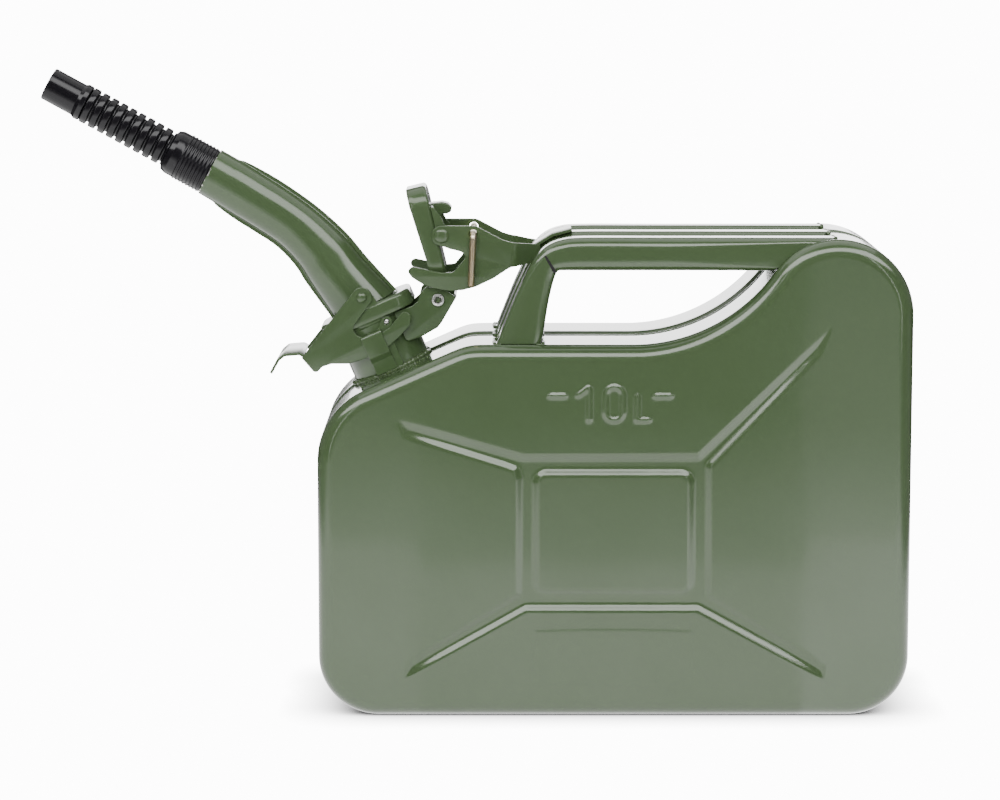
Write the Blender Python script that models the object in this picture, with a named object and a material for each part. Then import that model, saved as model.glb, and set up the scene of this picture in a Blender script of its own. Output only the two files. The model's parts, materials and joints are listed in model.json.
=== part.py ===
"""Ten-litre steel fuel can with a cam-lever closure and a fitted pouring spout.

Axes: X runs along the can from the filler end to the carrying-hump end, Y away
from the front face, Z up. Outlines are written in millimetres and scaled once.
"""
import bmesh
import bpy
from math import cos, hypot, pi, radians, sin
from mathutils import Vector

MM = 0.001
GAP = 0.3                      # clearance between pieces that touch on the real can

# ---- can body ---------------------------------------------------------------
BODY_LENGTH = 345.0
BODY_THICKNESS = 130.0
WALL = 1.0
BOTTOM_RADIUS = 35.0
HUMP_RADIUS = 44.0
HUMP_TOP = 279.0
RECESS_HEIGHT = 218.0          # flat top under the handles
RECESS_CURVE_RADIUS = 98.0
RECESS_CURVE_START = 183.0
FILLER_CORNER_RADIUS = 45.0
SHOULDER_TILT = radians(24.0)
FACE_EDGE_RADIUS = 8.0
SEAM_GROOVE_DEPTH = 4.0
CHANNEL_DEPTH = 3.0
CHANNEL_DRAFT = 2.5

# ---- filler neck and closure (neck frame: X along shoulder, Z along neck) -----
NECK_ORIGIN = (42.5, 198.0)
NECK_RADIUS = 23.25
NECK_HEIGHT = 33.0
HINGE = (42.0, 27.5)
CAP_OPEN_ANGLE = radians(100.2)
CAP_CENTRE = -39.0             # cap centre from the hinge, along the closed cap
CAP_HALF_LENGTH = 28.0
CAP_HALF_WIDTH = 25.0
CAP_CORNER = 12.0
PLATE_IN = 25.6                # lever side plates, inner and outer faces
PLATE_OUT = 27.4
CAP_PIVOT = (-36.7, 11.3)
SPOUT_PIVOT = (2.1, 47.5)
PIVOT_EAR = 5.9
RIVET_RADIUS = 2.4

# ---- handles ------------------------------------------------------------------
HANDLE_SPACING = 43.0
HANDLE_HALF_WIDTH = 12.5

# ---- spout and nozzle ---------------------------------------------------------
COLLAR_BOTTOM = 32.0
COLLAR_TOP = 41.0
NOZZLE_START = (-65.2, 314.3)
NOZZLE_ANGLE = radians(28.8)
SPOUT_END_RADIUS = 14.25
COLLAR_LENGTH = 28.0
BELLOWS_RINGS = 9
BELLOWS_PITCH = 6.0
BELLOWS_START = COLLAR_LENGTH + 0.4
BELLOWS_END = BELLOWS_START + BELLOWS_RINGS * BELLOWS_PITCH
TIP_START = BELLOWS_END + 0.6
TIP_END = TIP_START + 24.8
TIP_RADIUS = 10.0
REACH = TIP_END * cos(NOZZLE_ANGLE) + TIP_RADIUS * sin(NOZZLE_ANGLE) - NOZZLE_START[0]
DATUM_X = (BODY_LENGTH - REACH) / 2      # middle of the whole length

ROUND = 32                     # sides of a turned piece


# ---- helpers ------------------------------------------------------------------
def clear_scene():
    for obj in list(bpy.data.objects):
        bpy.data.objects.remove(obj, do_unlink=True)


def material(name, colour, roughness, metallic):
    mat = bpy.data.materials.new(name)
    mat.use_nodes = True
    shader = mat.node_tree.nodes["Principled BSDF"]
    shader.inputs["Base Color"].default_value = (*colour, 1.0)
    shader.inputs["Roughness"].default_value = roughness
    shader.inputs["Metallic"].default_value = metallic
    return mat


def empty(name, parent, x, z, angle=0.0):
    """An axis marker whose children are modelled in its own frame."""
    obj = bpy.data.objects.new(name, None)
    bpy.context.collection.objects.link(obj)
    obj.parent = parent
    obj.location = (x * MM, 0.0, z * MM)
    obj.rotation_euler = (0.0, angle, 0.0)
    return obj


def finish_mesh(name, bm, parent, mat, smooth=30.0):
    bmesh.ops.recalc_face_normals(bm, faces=bm.faces)
    mesh = bpy.data.meshes.new(name)
    bm.to_mesh(mesh)
    bm.free()
    mesh.shade_smooth()
    mesh.set_sharp_from_angle(angle=radians(smooth))
    obj = bpy.data.objects.new(name, mesh)
    bpy.context.collection.objects.link(obj)
    obj.parent = parent
    if mat is not None:
        mesh.materials.append(mat)
    return obj


def loft(name, rings, parent, mat, tube=False):
    """Skin a row of equal rings; a tube's last ring joins its first."""
    bm = bmesh.new()
    rows = [[bm.verts.new(Vector(p) * MM) for p in ring] for ring in rings]
    count = len(rows[0])
    pairs = list(zip(rows, rows[1:]))
    if tube:
        pairs.append((rows[-1], rows[0]))
    for low, high in pairs:
        for i in range(count):
            j = (i + 1) % count
            bm.faces.new((low[i], low[j], high[j], high[i]))
    if not tube:
        bm.faces.new(rows[0])
        bm.faces.new(rows[-1])
    return finish_mesh(name, bm, parent, mat)


def plate(name, outline, y_low, y_high, parent, mat=None):
    """A flat blank: an XZ outline given a thickness along Y."""
    rings = [[(x, y, z) for x, z in outline] for y in (y_low, y_high)]
    return loft(name, rings, parent, mat)


def turned(name, profile, parent, mat, sides=ROUND):
    """A hollow round piece: a closed (radius, height) section spun about Z."""
    rings = []
    for k in range(sides):
        angle = 2 * pi * k / sides
        rings.append([(r * cos(angle), r * sin(angle), h) for r, h in profile])
    return loft(name, rings, parent, mat, tube=True)


def rod(name, x, z, radius, y_low, y_high, parent, mat=None, sides=24):
    """A solid round bar along Y through (x, z)."""
    return plate(name, arc((x, z), radius, 0.0, 2 * pi, sides)[:-1], y_low, y_high, parent, mat)


def helper(obj):
    obj.hide_render = True
    obj.display_type = "WIRE"
    return obj


def boolean(obj, other, operation):
    mod = obj.modifiers.new(other.name, "BOOLEAN")
    mod.operation = operation
    mod.solver = "EXACT"
    mod.object = helper(other)


def arc(centre, radius, start, end, steps):
    points = []
    for k in range(steps + 1):
        angle = start + (end - start) * k / steps
        points.append((centre[0] + radius * cos(angle), centre[1] + radius * sin(angle)))
    return points


def rounded_rectangle(cx, cy, half_x, half_y, radius, steps):
    points = []
    for k, (sx, sy) in enumerate(((1, 1), (-1, 1), (-1, -1), (1, -1))):
        centre = (cx + sx * (half_x - radius), cy + sy * (half_y - radius))
        points += arc(centre, radius, k * pi / 2, (k + 1) * pi / 2, steps)
    return points


def inset(outline, distance):
    """Move each side of a counter-clockwise outline inward by a distance."""
    moved = []
    for before, here, after in zip(outline[-1:] + outline[:-1], outline, outline[1:] + outline[:1]):
        a = Vector(here) - Vector(before)
        b = Vector(after) - Vector(here)
        left_a = Vector((-a.y, a.x)).normalized()
        left_b = Vector((-b.y, b.x)).normalized()
        bisector = (left_a + left_b).normalized()
        moved.append(tuple(Vector(here) + bisector * distance / bisector.dot(left_a)))
    return moved


# ---- can body -----------------------------------------------------------------
def body_outline():
    """Side view of the tank, counter-clockwise from the lower filler corner."""
    low = BOTTOM_RADIUS
    points = arc((low, low), low, pi, 1.5 * pi, 5)
    points += arc((BODY_LENGTH - low, low), low, 1.5 * pi, 2 * pi, 5)
    hump = (BODY_LENGTH - HUMP_RADIUS, HUMP_TOP - HUMP_RADIUS)
    points += arc(hump, HUMP_RADIUS, 0.0, 0.5 * pi, 6)
    centre = (RECESS_CURVE_START, RECESS_HEIGHT + RECESS_CURVE_RADIUS)
    points += arc(centre, RECESS_CURVE_RADIUS, radians(325.0), radians(270.0), 6)
    rise = (RECESS_HEIGHT - NECK_ORIGIN[1]) / sin(SHOULDER_TILT)
    points.append((NECK_ORIGIN[0] + rise * cos(SHOULDER_TILT), RECESS_HEIGHT))
    r = FILLER_CORNER_RADIUS
    drop = (r - sin(SHOULDER_TILT) * (r - NECK_ORIGIN[0])) / cos(SHOULDER_TILT)
    points += arc((r, NECK_ORIGIN[1] - drop), r, pi / 2 + SHOULDER_TILT, pi, 5)
    return points


def half_shell_rings(side, grow):
    """Rings of one half from the seam to its face; grow > 0 gives the inside."""
    half = BODY_THICKNESS / 2
    groove = SEAM_GROOVE_DEPTH
    radius = FACE_EDGE_RADIUS
    if grow == 0:
        steps = [(0.6, GAP / 2), (0.6, 1.6), (groove, 2.0), (groove, 5.0), (0.0, 10.0)]
    else:
        steps = [(groove, -1.0), (groove, 5.0), (0.0, 10.0)]
    steps += [(radius - radius * cos(a), half - radius + radius * sin(a))
              for a in (0.0, radians(30), radians(60), radians(90))]
    outline = body_outline()
    rings = []
    for depth, y in steps:
        depth_in = depth + grow
        y_in = y if y < half - radius else y - grow
        rings.append([(x, side * y_in, z) for x, z in inset(outline, depth_in)])
    return rings


def channel_outline():
    """The pressed X-shaped channel, counter-clockwise, at the face."""
    return [(52.0, 24.0), (121.5, 62.5), (221.0, 62.5), (294.0, 23.5), (293.5, 32.5),
            (228.5, 72.5), (228.5, 148.0), (291.5, 214.5), (294.5, 226.0), (220.5, 155.0),
            (120.0, 154.5), (50.0, 173.5), (53.5, 164.5), (115.4, 145.0), (115.4, 72.5),
            (54.0, 34.0)]


def channel_tool(name, side, grow, parent):
    """What the press leaves out of the face: the channel without its centre island."""
    half = BODY_THICKNESS / 2
    top = half + 2.0
    floor = half - CHANNEL_DEPTH - grow
    slope = CHANNEL_DRAFT / CHANNEL_DEPTH
    rings = []
    for y in (top, floor):
        shift = (half - y) * slope - grow
        rings.append([(x, side * y, z) for x, z in inset(channel_outline(), shift)])
    tool = loft(name, rings, parent, None)
    rings = []
    for y in (top + 1.0, floor - 1.0):
        widen = (half - y) * slope - grow
        ring = rounded_rectangle(172.0, 109.0, 44.0 + widen, 34.5 + widen, 7.0 + widen, 3)
        rings.append([(x, side * y, z) for x, z in ring])
    boolean(tool, loft(name + "_island", rings, parent, None), "DIFFERENCE")
    return tool


def neck_cutter(name, neck):
    radius = NECK_RADIUS + GAP
    rings = [[(x, y, h) for x, y in arc((0, 0), radius, 0, 2 * pi, ROUND)[:-1]] for h in (-22, 14)]
    return helper(loft(name, rings, neck, None))


def capacity_marks(name, side, parent):
    """Raised capacity mark of the front half: dash, one, zero, small L, dash."""
    y = (side * (BODY_THICKNESS / 2 - 0.6), side * (BODY_THICKNESS / 2 + 1.0))
    strokes = [
        [(133.6, 188.0), (145.0, 188.0), (145.0, 190.6), (133.6, 190.6)],
        [(155.5, 173.5), (159.6, 173.5), (159.6, 196.0), (156.6, 196.0), (150.0, 190.6),
         (152.0, 188.0), (155.5, 190.6)],
        [(183.5, 173.5), (193.2, 173.5), (193.2, 177.2), (187.2, 177.2), (187.2, 190.8),
         (183.5, 190.8)],
        [(194.6, 188.0), (206.0, 188.0), (206.0, 190.6), (194.6, 190.6)],
    ]
    marks = [plate(f"{name}_{i}", s, min(y), max(y), parent) for i, s in enumerate(strokes)]
    zero = plate(name + "_zero", rounded_rectangle(172.0, 184.8, 6.4, 11.2, 6.0, 4),
                 min(y), max(y), parent)
    hole = plate(name + "_zero_hole", rounded_rectangle(172.0, 184.8, 2.7, 7.4, 2.6, 3),
                 min(y) - 1, max(y) + 1, parent)
    boolean(zero, hole, "DIFFERENCE")
    return marks + [zero]


def make_shell(name, side, can, neck, mat):
    shell = loft(name, half_shell_rings(side, 0.0), can, mat)
    hollow = loft(name + "_hollow", half_shell_rings(side, WALL), can, None)
    boolean(hollow, channel_tool(name + "_ridge", side, WALL, can), "DIFFERENCE")
    boolean(shell, channel_tool(name + "_channel", side, 0.0, can), "DIFFERENCE")
    boolean(shell, hollow, "DIFFERENCE")
    boolean(shell, neck_cutter(name + "_neck_hole", neck), "DIFFERENCE")
    if side < 0:
        for mark in capacity_marks("capacity", side, can):
            boolean(shell, mark, "UNION")
    return shell


def make_handle(name, y_centre, can, mat):
    """Pressed tube from its foot on the recess, over the bend, to the hump."""
    base = RECESS_HEIGHT + GAP
    stations = [((130.0, base), (104.3, base)), ((131.8, 224.0), (106.3, 225.2)),
                ((134.4, 243.0), (114.3, 243.6)), ((138.0, 257.6), (122.4, 261.0)),
                ((140.8, 260.4), (127.5, 270.0)), ((147.0, 260.4), (137.0, 276.3)),
                ((156.0, 260.4), (153.0, 279.4)), ((262.0, 260.4), (299.6, 279.4))]

    def rings(shrink):
        result = []
        for (x0, z0), (x1, z1) in stations:
            length = hypot(x1 - x0, z1 - z0)
            ux, uz = (x1 - x0) / length, (z1 - z0) / length
            half_w = HANDLE_HALF_WIDTH - shrink
            corner = min(6.5, length / 3) - shrink
            section = rounded_rectangle(length / 2, 0.0, length / 2 - shrink, half_w, corner, 2)
            result.append([(x0 + ux * s, y_centre + t, z0 + uz * s) for s, t in section])
        return result

    return loft(name, rings(0.0) + rings(WALL)[::-1], can, mat, tube=True)


# ---- neck, catches, hinge -----------------------------------------------------
def make_neck(neck, mat):
    r, h = NECK_RADIUS, NECK_HEIGHT
    profile = [(r, -8.0), (r, h - 0.8), (r - 0.8, h), (r - 1.2, h), (r - 2.0, h - 0.8),
               (r - 2.0, -8.0)]
    return turned("filler_neck", profile, neck, mat)


def make_catch(name, side, neck, mat):
    """Folded strap on the side of the neck; the lever's finger slides through it."""
    back = [(-4.4, 1.6), (8.6, 1.6), (8.6, 23.0), (12.4, 26.6), (12.6, 30.0), (10.0, 31.4),
            (6.4, 30.4), (4.6, 27.5), (-4.4, 26.3)]
    y_back = (23.6, 25.1)
    y_strap = (27.9, 29.4)

    def leg(label, outline, y_low, y_high):
        y = sorted((side * y_low, side * y_high))
        return plate(label, outline, y[0], y[1], neck, None)

    catch = leg(name, back, *y_back)
    catch.data.materials.append(mat)
    strap = [(-4.4, 11.4), (8.6, 11.4), (8.6, 26.3), (-4.4, 26.3)]
    boolean(catch, leg(name + "_strap", strap, *y_strap), "UNION")
    for label, low, high in (("_top", 24.8, 26.3), ("_step", 11.4, 12.8)):
        fold = [(-4.4, low), (8.6, low), (8.6, high), (-4.4, high)]
        boolean(catch, leg(name + label, fold, y_back[0] + 0.1, y_strap[1] - 0.1), "UNION")
    hole = leg(name + "_eye", arc((9.2, 28.2), 1.6, 0, 2 * pi, 12)[:-1], 22.0, 27.0)
    boolean(catch, hole, "DIFFERENCE")
    return catch


def make_hinge_bracket(neck, mat):
    """U-shaped bracket welded to the neck, open towards the cap."""
    cheek = [(15.0, 12.4), (24.0, 11.3), (35.0, 12.3), (38.5, 14.2), (52.5, 24.3), (48.0, 31.5),
             (38.6, 37.3), (34.0, 35.5), (31.0, 31.6), (26.5, 30.4), (15.0, 31.4)]
    web = [(24.0, 11.3), (35.0, 12.3), (38.5, 14.2), (52.5, 24.3), (51.6, 25.7), (37.8, 15.8),
           (34.6, 13.9), (24.0, 12.9)]
    bracket = plate("hinge_bracket", cheek, -20.5, -18.5, neck, mat)
    boolean(bracket, plate("hinge_bracket_far_cheek", cheek, 18.5, 20.5, neck), "UNION")
    boolean(bracket, plate("hinge_bracket_web", web, -19.5, 19.5, neck), "UNION")
    boolean(bracket, rod("hinge_bracket_bore", *HINGE, 3.1, -30, 30, neck), "DIFFERENCE")
    return bracket


def tubular_rivet(name, x, z, y_end, parent, mat):
    """Hollow hinge pin with a rolled head at each end."""
    r = 2.8
    profile = [(r, -y_end + 1.2), (r, y_end - 1.2), (r + 1.0, y_end - 1.2), (r + 0.8, y_end),
               (r - 0.6, y_end), (1.5, y_end - 1.4), (1.5, -y_end + 1.4), (r - 0.6, -y_end),
               (r + 0.8, -y_end), (r + 1.0, -y_end + 1.2)]
    pin = turned(name, profile, parent, mat, 18)
    pin.location = (x * MM, 0.0, z * MM)
    pin.rotation_euler = (pi / 2, 0.0, 0.0)
    return pin


def make_breather(can, mat):
    """Thin air pipe inside the tank from the neck to the air space in the hump."""
    curve = bpy.data.curves.new("breather_pipe", "CURVE")
    curve.dimensions = "3D"
    curve.bevel_depth = 3.0 * MM
    curve.bevel_resolution = 2
    curve.use_fill_caps = True
    route = [(46.0, 207.0), (49.0, 200.5), (54.0, 195.0), (61.5, 192.6), (72.0, 195.0),
             (90.0, 200.5), (112.0, 205.0), (150.0, 207.0), (185.0, 208.5), (215.0, 213.5),
             (240.0, 225.0), (262.0, 242.0), (282.0, 258.0)]
    spline = curve.splines.new("POLY")
    spline.points.add(len(route) - 1)
    for point, (x, z) in zip(spline.points, route):
        point.co = (x * MM, 0.0, z * MM, 1.0)
    obj = bpy.data.objects.new("breather_pipe", curve)
    bpy.context.collection.objects.link(obj)
    obj.parent = can
    curve.materials.append(mat)
    return obj


# ---- lids -----------------------------------------------------------------------
def lid_cup(name, centre, half_length, bottom, top, parent, mat, mouth):
    """Pressed cup with flat sides and round corners, open downwards."""
    def block(label, grow, low, high, edge):
        rings = []
        for shrink, z in ((0.0, low), (0.0, high - edge), (edge, high)):
            section = rounded_rectangle(centre, 0.0, half_length - grow - shrink,
                                        CAP_HALF_WIDTH - grow - shrink,
                                        CAP_CORNER - grow - shrink, 4)
            rings.append([(x, y, z) for x, y in section])
        return loft(label, rings, parent, None)

    cup = block(name, 0.0, bottom, top, 1.4)
    cup.data.materials.append(mat)
    boolean(cup, block(name + "_inside", WALL, bottom - 1.0, top - WALL, 1.0), "DIFFERENCE")
    if mouth:
        circle = arc((centre, 0.0), mouth, 0, 2 * pi, ROUND)[:-1]
        rings = [[(x, y, z) for x, y in circle] for z in (bottom, top + 2.0)]
        boolean(cup, loft(name + "_mouth", rings, parent, None), "DIFFERENCE")
    return cup


def flat_ring(name, centre, outer, inner, low, high, parent, mat):
    profile = [(outer, low), (outer, high), (inner, high), (inner, low)]
    ring = turned(name, profile, parent, mat)
    ring.location = (centre * MM, 0.0, 0.0)
    return ring


def pivot_rivet(name, side, x, z, y_inner, parent, mat):
    """Domed rivet through a lug and a lever plate, its shank riveted flush inside."""
    y_head = PLATE_OUT + GAP
    profile = [(0.0, y_inner), (RIVET_RADIUS, y_inner), (RIVET_RADIUS, y_head), (4.2, y_head),
               (3.9, y_head + 1.1), (2.4, y_head + 2.0), (0.0, y_head + 2.2)]
    bm = bmesh.new()
    points = [bm.verts.new((r * MM, 0.0, h * MM)) for r, h in profile]
    edges = [bm.edges.new(pair) for pair in zip(points, points[1:])]
    bmesh.ops.spin(bm, geom=points + edges, cent=(0, 0, 0), axis=(0, 0, 1), angle=2 * pi,
                   steps=16, use_merge=True)
    bmesh.ops.remove_doubles(bm, verts=bm.verts, dist=1e-6)
    rivet = finish_mesh(name, bm, parent, mat)
    rivet.location = (x * MM, 0.0, z * MM)
    rivet.rotation_euler = (-side * pi / 2, 0.0, 0.0)
    return rivet


def make_cap(cap, mats):
    lid_cup("cap_cover", CAP_CENTRE, CAP_HALF_LENGTH, -0.9, 8.7, cap, mats["enamel"], None)
    flat_ring("cap_gasket", CAP_CENTRE, 22.8, 19.5, 5.2, 7.1, cap, mats["rubber"])
    retainer = [(0.0, 5.6), (19.2, 5.6), (19.2, 7.1), (0.0, 7.1)]
    disc = [[(r * cos(t), r * sin(t), h) for t in [2 * pi * k / ROUND for k in range(ROUND)]]
            for r, h in retainer[1:3]]
    loft("cap_gasket_retainer", disc, cap, mats["steel"]).location = (CAP_CENTRE * MM, 0, 0)

    flange = [(-54.0, 9.0), (-31.0, 9.0), (-31.0, 12.0)]
    flange += arc(CAP_PIVOT, 5.2, 0.0, pi, 8) + [(-46.0, 13.6), (-54.0, 10.6)]
    base = [(-54.0, 9.0), (-31.0, 9.0), (-31.0, 10.4), (-54.0, 10.4)]
    bracket = plate("cap_pivot_bracket", base, -24.6, 24.6, cap, mats["enamel"])
    for side, label in ((-1, "near"), (1, "far")):
        y = sorted((side * 23.4, side * 25.0))
        boolean(bracket, plate("cap_pivot_lug_" + label, flange, *y, cap), "UNION")
        y = sorted((side * 22.9, side * 30.0))
        bore = rod("cap_pivot_bore_" + label, *CAP_PIVOT, RIVET_RADIUS + GAP, *y, cap)
        boolean(bracket, bore, "DIFFERENCE")

    stop = [(-55.0, 10.7), (-46.0, 10.7), (-45.6, 12.6), (-48.2, 14.6), (-48.0, 18.6),
            (-49.6, 20.2), (-52.4, 19.4), (-54.8, 16.4), (-55.0, 14.0)]
    plate("cap_thumb_stop", stop, -8.0, 8.0, cap, mats["enamel"])

    arm = [(-10.7, 0.2), (-3.2, -3.2)] + arc((0.0, 0.0), 4.6, -0.6 * pi, 0.4 * pi, 8)
    arm += [(-5.0, 7.4), (-10.7, 7.4)]
    for side, label in ((-1, "near"), (1, "far")):
        y = sorted((side * 15.6, side * 18.2))
        piece = plate("cap_hinge_arm_" + label, arm, *y, cap, mats["enamel"])
        boolean(piece, rod("cap_hinge_bore_" + label, 0, 0, 3.1, -30, 30, cap), "DIFFERENCE")
        pivot_rivet("cap_lever_rivet_" + label, side, *CAP_PIVOT, 23.2, cap, mats["enamel"])


def make_cap_lever(pivot, mat):
    """Two cheeks with hooked fingers, drawn together to a tail over the handle."""
    top = [(1.0, 5.9), (20.2, 5.8), (21.4, 5.2), (35.8, -2.4), (41.0, -4.0)]
    lower = [(41.0, -18.4), (38.3, -19.8), (33.1, -23.0), (27.8, -26.2), (20.2, -29.7),
             (12.3, -31.9), (7.1, -32.2), (-0.9, -31.5), (-8.4, -29.7), (-13.7, -26.8),
             (-18.4, -23.3), (-19.7, -20.6), (-17.4, -18.5), (-14.8, -18.6)]
    mouth = [(-7.0, -20.3), (-0.8, -21.6), (6.6, -21.4), (9.1, -19.2), (11.8, -15.1),
             (13.8, -12.1), (12.3, -9.8), (5.0, -7.8), (1.5, -6.6)]
    ear = arc((0.0, 0.0), PIVOT_EAR, -0.55 * pi, -1.5 * pi, 10)
    cheek = top + lower + mouth + ear
    lever = plate("cap_lever", cheek[::-1], -PLATE_OUT, -PLATE_IN, pivot, mat)
    boolean(lever, plate("cap_lever_far_cheek", cheek[::-1], PLATE_IN, PLATE_OUT, pivot), "UNION")

    for side, label in ((-1, "near"), (1, "far")):
        sections = [(40.0, PLATE_IN, -19.0, -3.6), (41.0, PLATE_IN, -18.4, -4.0),
                    (50.5, 18.5, -16.8, -5.2), (57.6, 13.4, -12.0, -5.9)]
        rings = []
        for x, y, low, high in sections:
            y0, y1 = sorted((side * y, side * (y + PLATE_OUT - PLATE_IN)))
            rings.append([(x, y0, low), (x, y1, low), (x, y1, high), (x, y0, high)])
        boolean(lever, loft("cap_lever_tail_" + label, rings, pivot, None), "UNION")
    tab = [(53.6, -9.0), (56.0, -7.2), (64.6, -1.5), (76.6, 1.4), (76.2, 3.2), (64.0, 0.4),
           (53.6, -5.6)]
    boolean(lever, plate("cap_lever_tail_tab", tab, -14.6, 14.6, pivot), "UNION")
    boolean(lever, rod("cap_lever_bore", 0, 0, RIVET_RADIUS + GAP, -40, 40, pivot), "DIFFERENCE")
    boolean(lever, rod("cap_lever_pin_bore", 18.5, 1.0, 2.5, -40, 40, pivot), "DIFFERENCE")
    return lever


def make_locking_pin(pivot, mat):
    """Bent rod through both cheeks; its long leg hangs outside the near one."""
    curve = bpy.data.curves.new("locking_pin", "CURVE")
    curve.dimensions = "3D"
    curve.bevel_depth = 2.05 * MM
    curve.bevel_resolution = 3
    curve.use_fill_caps = True
    leg_y, corner = -32.2, 3.0
    route = [(0.0, 32.5, 0.0), (0.0, leg_y + corner, 0.0)]
    route += [(0.0, leg_y + corner - corner * sin(t), -corner + corner * cos(t))
              for t in (radians(22), radians(45), radians(68), radians(90))]
    route.append((-1.2, leg_y, -30.5))
    spline = curve.splines.new("POLY")
    spline.points.add(len(route) - 1)
    for point, place in zip(spline.points, route):
        point.co = (*(Vector(place) * MM), 1.0)
    obj = bpy.data.objects.new("locking_pin", curve)
    bpy.context.collection.objects.link(obj)
    obj.parent = pivot
    curve.materials.append(mat)
    return obj


# ---- spout ----------------------------------------------------------------------
def make_spout_base(neck, mats):
    base = lid_cup("spout_base", 0.0, 28.5, COLLAR_BOTTOM, COLLAR_TOP, neck, mats["enamel"], 17.4)
    lug = [(-5.0, 39.8), (9.0, 39.8), (8.6, 44.0)] + arc(SPOUT_PIVOT, 5.4, 0.0, pi, 8)
    for side, label in ((-1, "near"), (1, "far")):
        y = sorted((side * 23.3, side * 24.9))
        boolean(base, plate("spout_lug_" + label, lug, *y, neck), "UNION")
        pivot_rivet("spout_lever_rivet_" + label, side, *SPOUT_PIVOT, 23.2, neck, mats["enamel"])
    boolean(base, rod("spout_lug_bore", *SPOUT_PIVOT, RIVET_RADIUS + GAP, -40, 40, neck), "DIFFERENCE")
    flat_ring("spout_gasket", 0.0, 22.8, 19.8, NECK_HEIGHT + GAP, COLLAR_TOP - WALL - GAP, neck,
              mats["rubber"])


def make_spout_half(name, side, can, mat):
    """One pressed half of the pouring tube with its two seam flanges."""
    across = (SPOUT_END_RADIUS * sin(NOZZLE_ANGLE), SPOUT_END_RADIUS * cos(NOZZLE_ANGLE))
    end_low = (NOZZLE_START[0] - across[0], NOZZLE_START[1] - across[1])
    end_high = (NOZZLE_START[0] + across[0], NOZZLE_START[1] + across[1])
    stations = [(end_low, end_high, 0.2), ((-63.5, 296.6), (-47.6, 320.6), 0.2),
                ((-60.5, 295.0), (-44.4, 318.8), 2.2), ((-37.5, 280.6), (-19.5, 303.2), 2.4),
                ((-24.2, 271.6), (-3.2, 291.4), 2.4), ((-13.4, 260.2), (13.0, 276.8), 2.4),
                ((-6.0, 248.6), (25.0, 262.6), 2.4), ((-1.6, 241.4), (31.8, 254.6), 2.4)]
    cs, sn = cos(SHOULDER_TILT), sin(SHOULDER_TILT)
    foot = []
    for u in (-19.4, 19.2):
        w = COLLAR_TOP + GAP
        foot.append((NECK_ORIGIN[0] + u * cs - w * sn, NECK_ORIGIN[1] + u * sn + w * cs))
    stations.append((foot[0], foot[1], 0.2))
    seam, sheet = GAP / 2, 1.2
    rings = []
    for low, high, lip in stations:
        length = hypot(high[0] - low[0], high[1] - low[1])
        ux, uz = (high[0] - low[0]) / length, (high[1] - low[1]) / length
        r = length / 2
        section = [(r + lip, seam), (r + lip, seam + sheet)]
        section += [(r * cos(t), seam + sheet + (r - seam - sheet) * sin(t))
                    for t in [pi * k / 12 for k in range(1, 12)]]
        section += [(-r - lip, seam + sheet), (-r - lip, seam), (-r + sheet, seam)]
        section += [((r - sheet) * cos(t), (r - sheet) * sin(t))
                    for t in [pi * k / 12 for k in range(11, 0, -1)]]
        section += [(r - sheet, seam)]
        rings.append([(low[0] + ux * (s + r), side * y, low[1] + uz * (s + r))
                      for s, y in section])
    return loft(name, rings, can, mat)


def make_spout_lever(neck, mat):
    """Two cheeks and a thumb tab; each cheek ends in a hooked finger."""
    blank = [(-44.9, 29.4), (-41.3, 17.5), (-35.8, 19.6), (-30.3, 19.0), (-21.2, 15.0),
             (-15.1, 14.2), (-4.6, 13.6), (4.0, 14.6), (10.6, 16.8), (15.8, 18.5), (21.7, 21.7),
             (23.6, 25.4), (22.8, 28.9), (20.9, 30.1), (16.9, 28.3), (9.3, 24.6), (2.0, 23.6),
             (-4.5, 24.2), (-8.0, 26.4), (-10.2, 29.4), (-10.2, 32.8), (-8.5, 34.5)]
    blank += arc(SPOUT_PIVOT, PIVOT_EAR, -0.27 * pi, 0.64 * pi, 9)
    lever = plate("spout_lever", blank, -PLATE_OUT, -PLATE_IN, neck, mat)
    boolean(lever, plate("spout_lever_far_cheek", blank, PLATE_IN, PLATE_OUT, neck), "UNION")
    tab = [(-42.0, 29.0), (-41.6, 31.2), (-44.4, 33.0), (-53.6, 36.0), (-58.0, 34.8), (-65.6, 29.4),
           (-64.4, 27.8), (-57.2, 32.9), (-53.6, 33.9), (-45.4, 31.0), (-44.6, 28.8)]
    boolean(lever, plate("spout_lever_tab", tab, -26.5, 26.5, neck), "UNION")
    boolean(lever, rod("spout_lever_bore", *SPOUT_PIVOT, RIVET_RADIUS + GAP, -40, 40, neck), "DIFFERENCE")
    return lever


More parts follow.
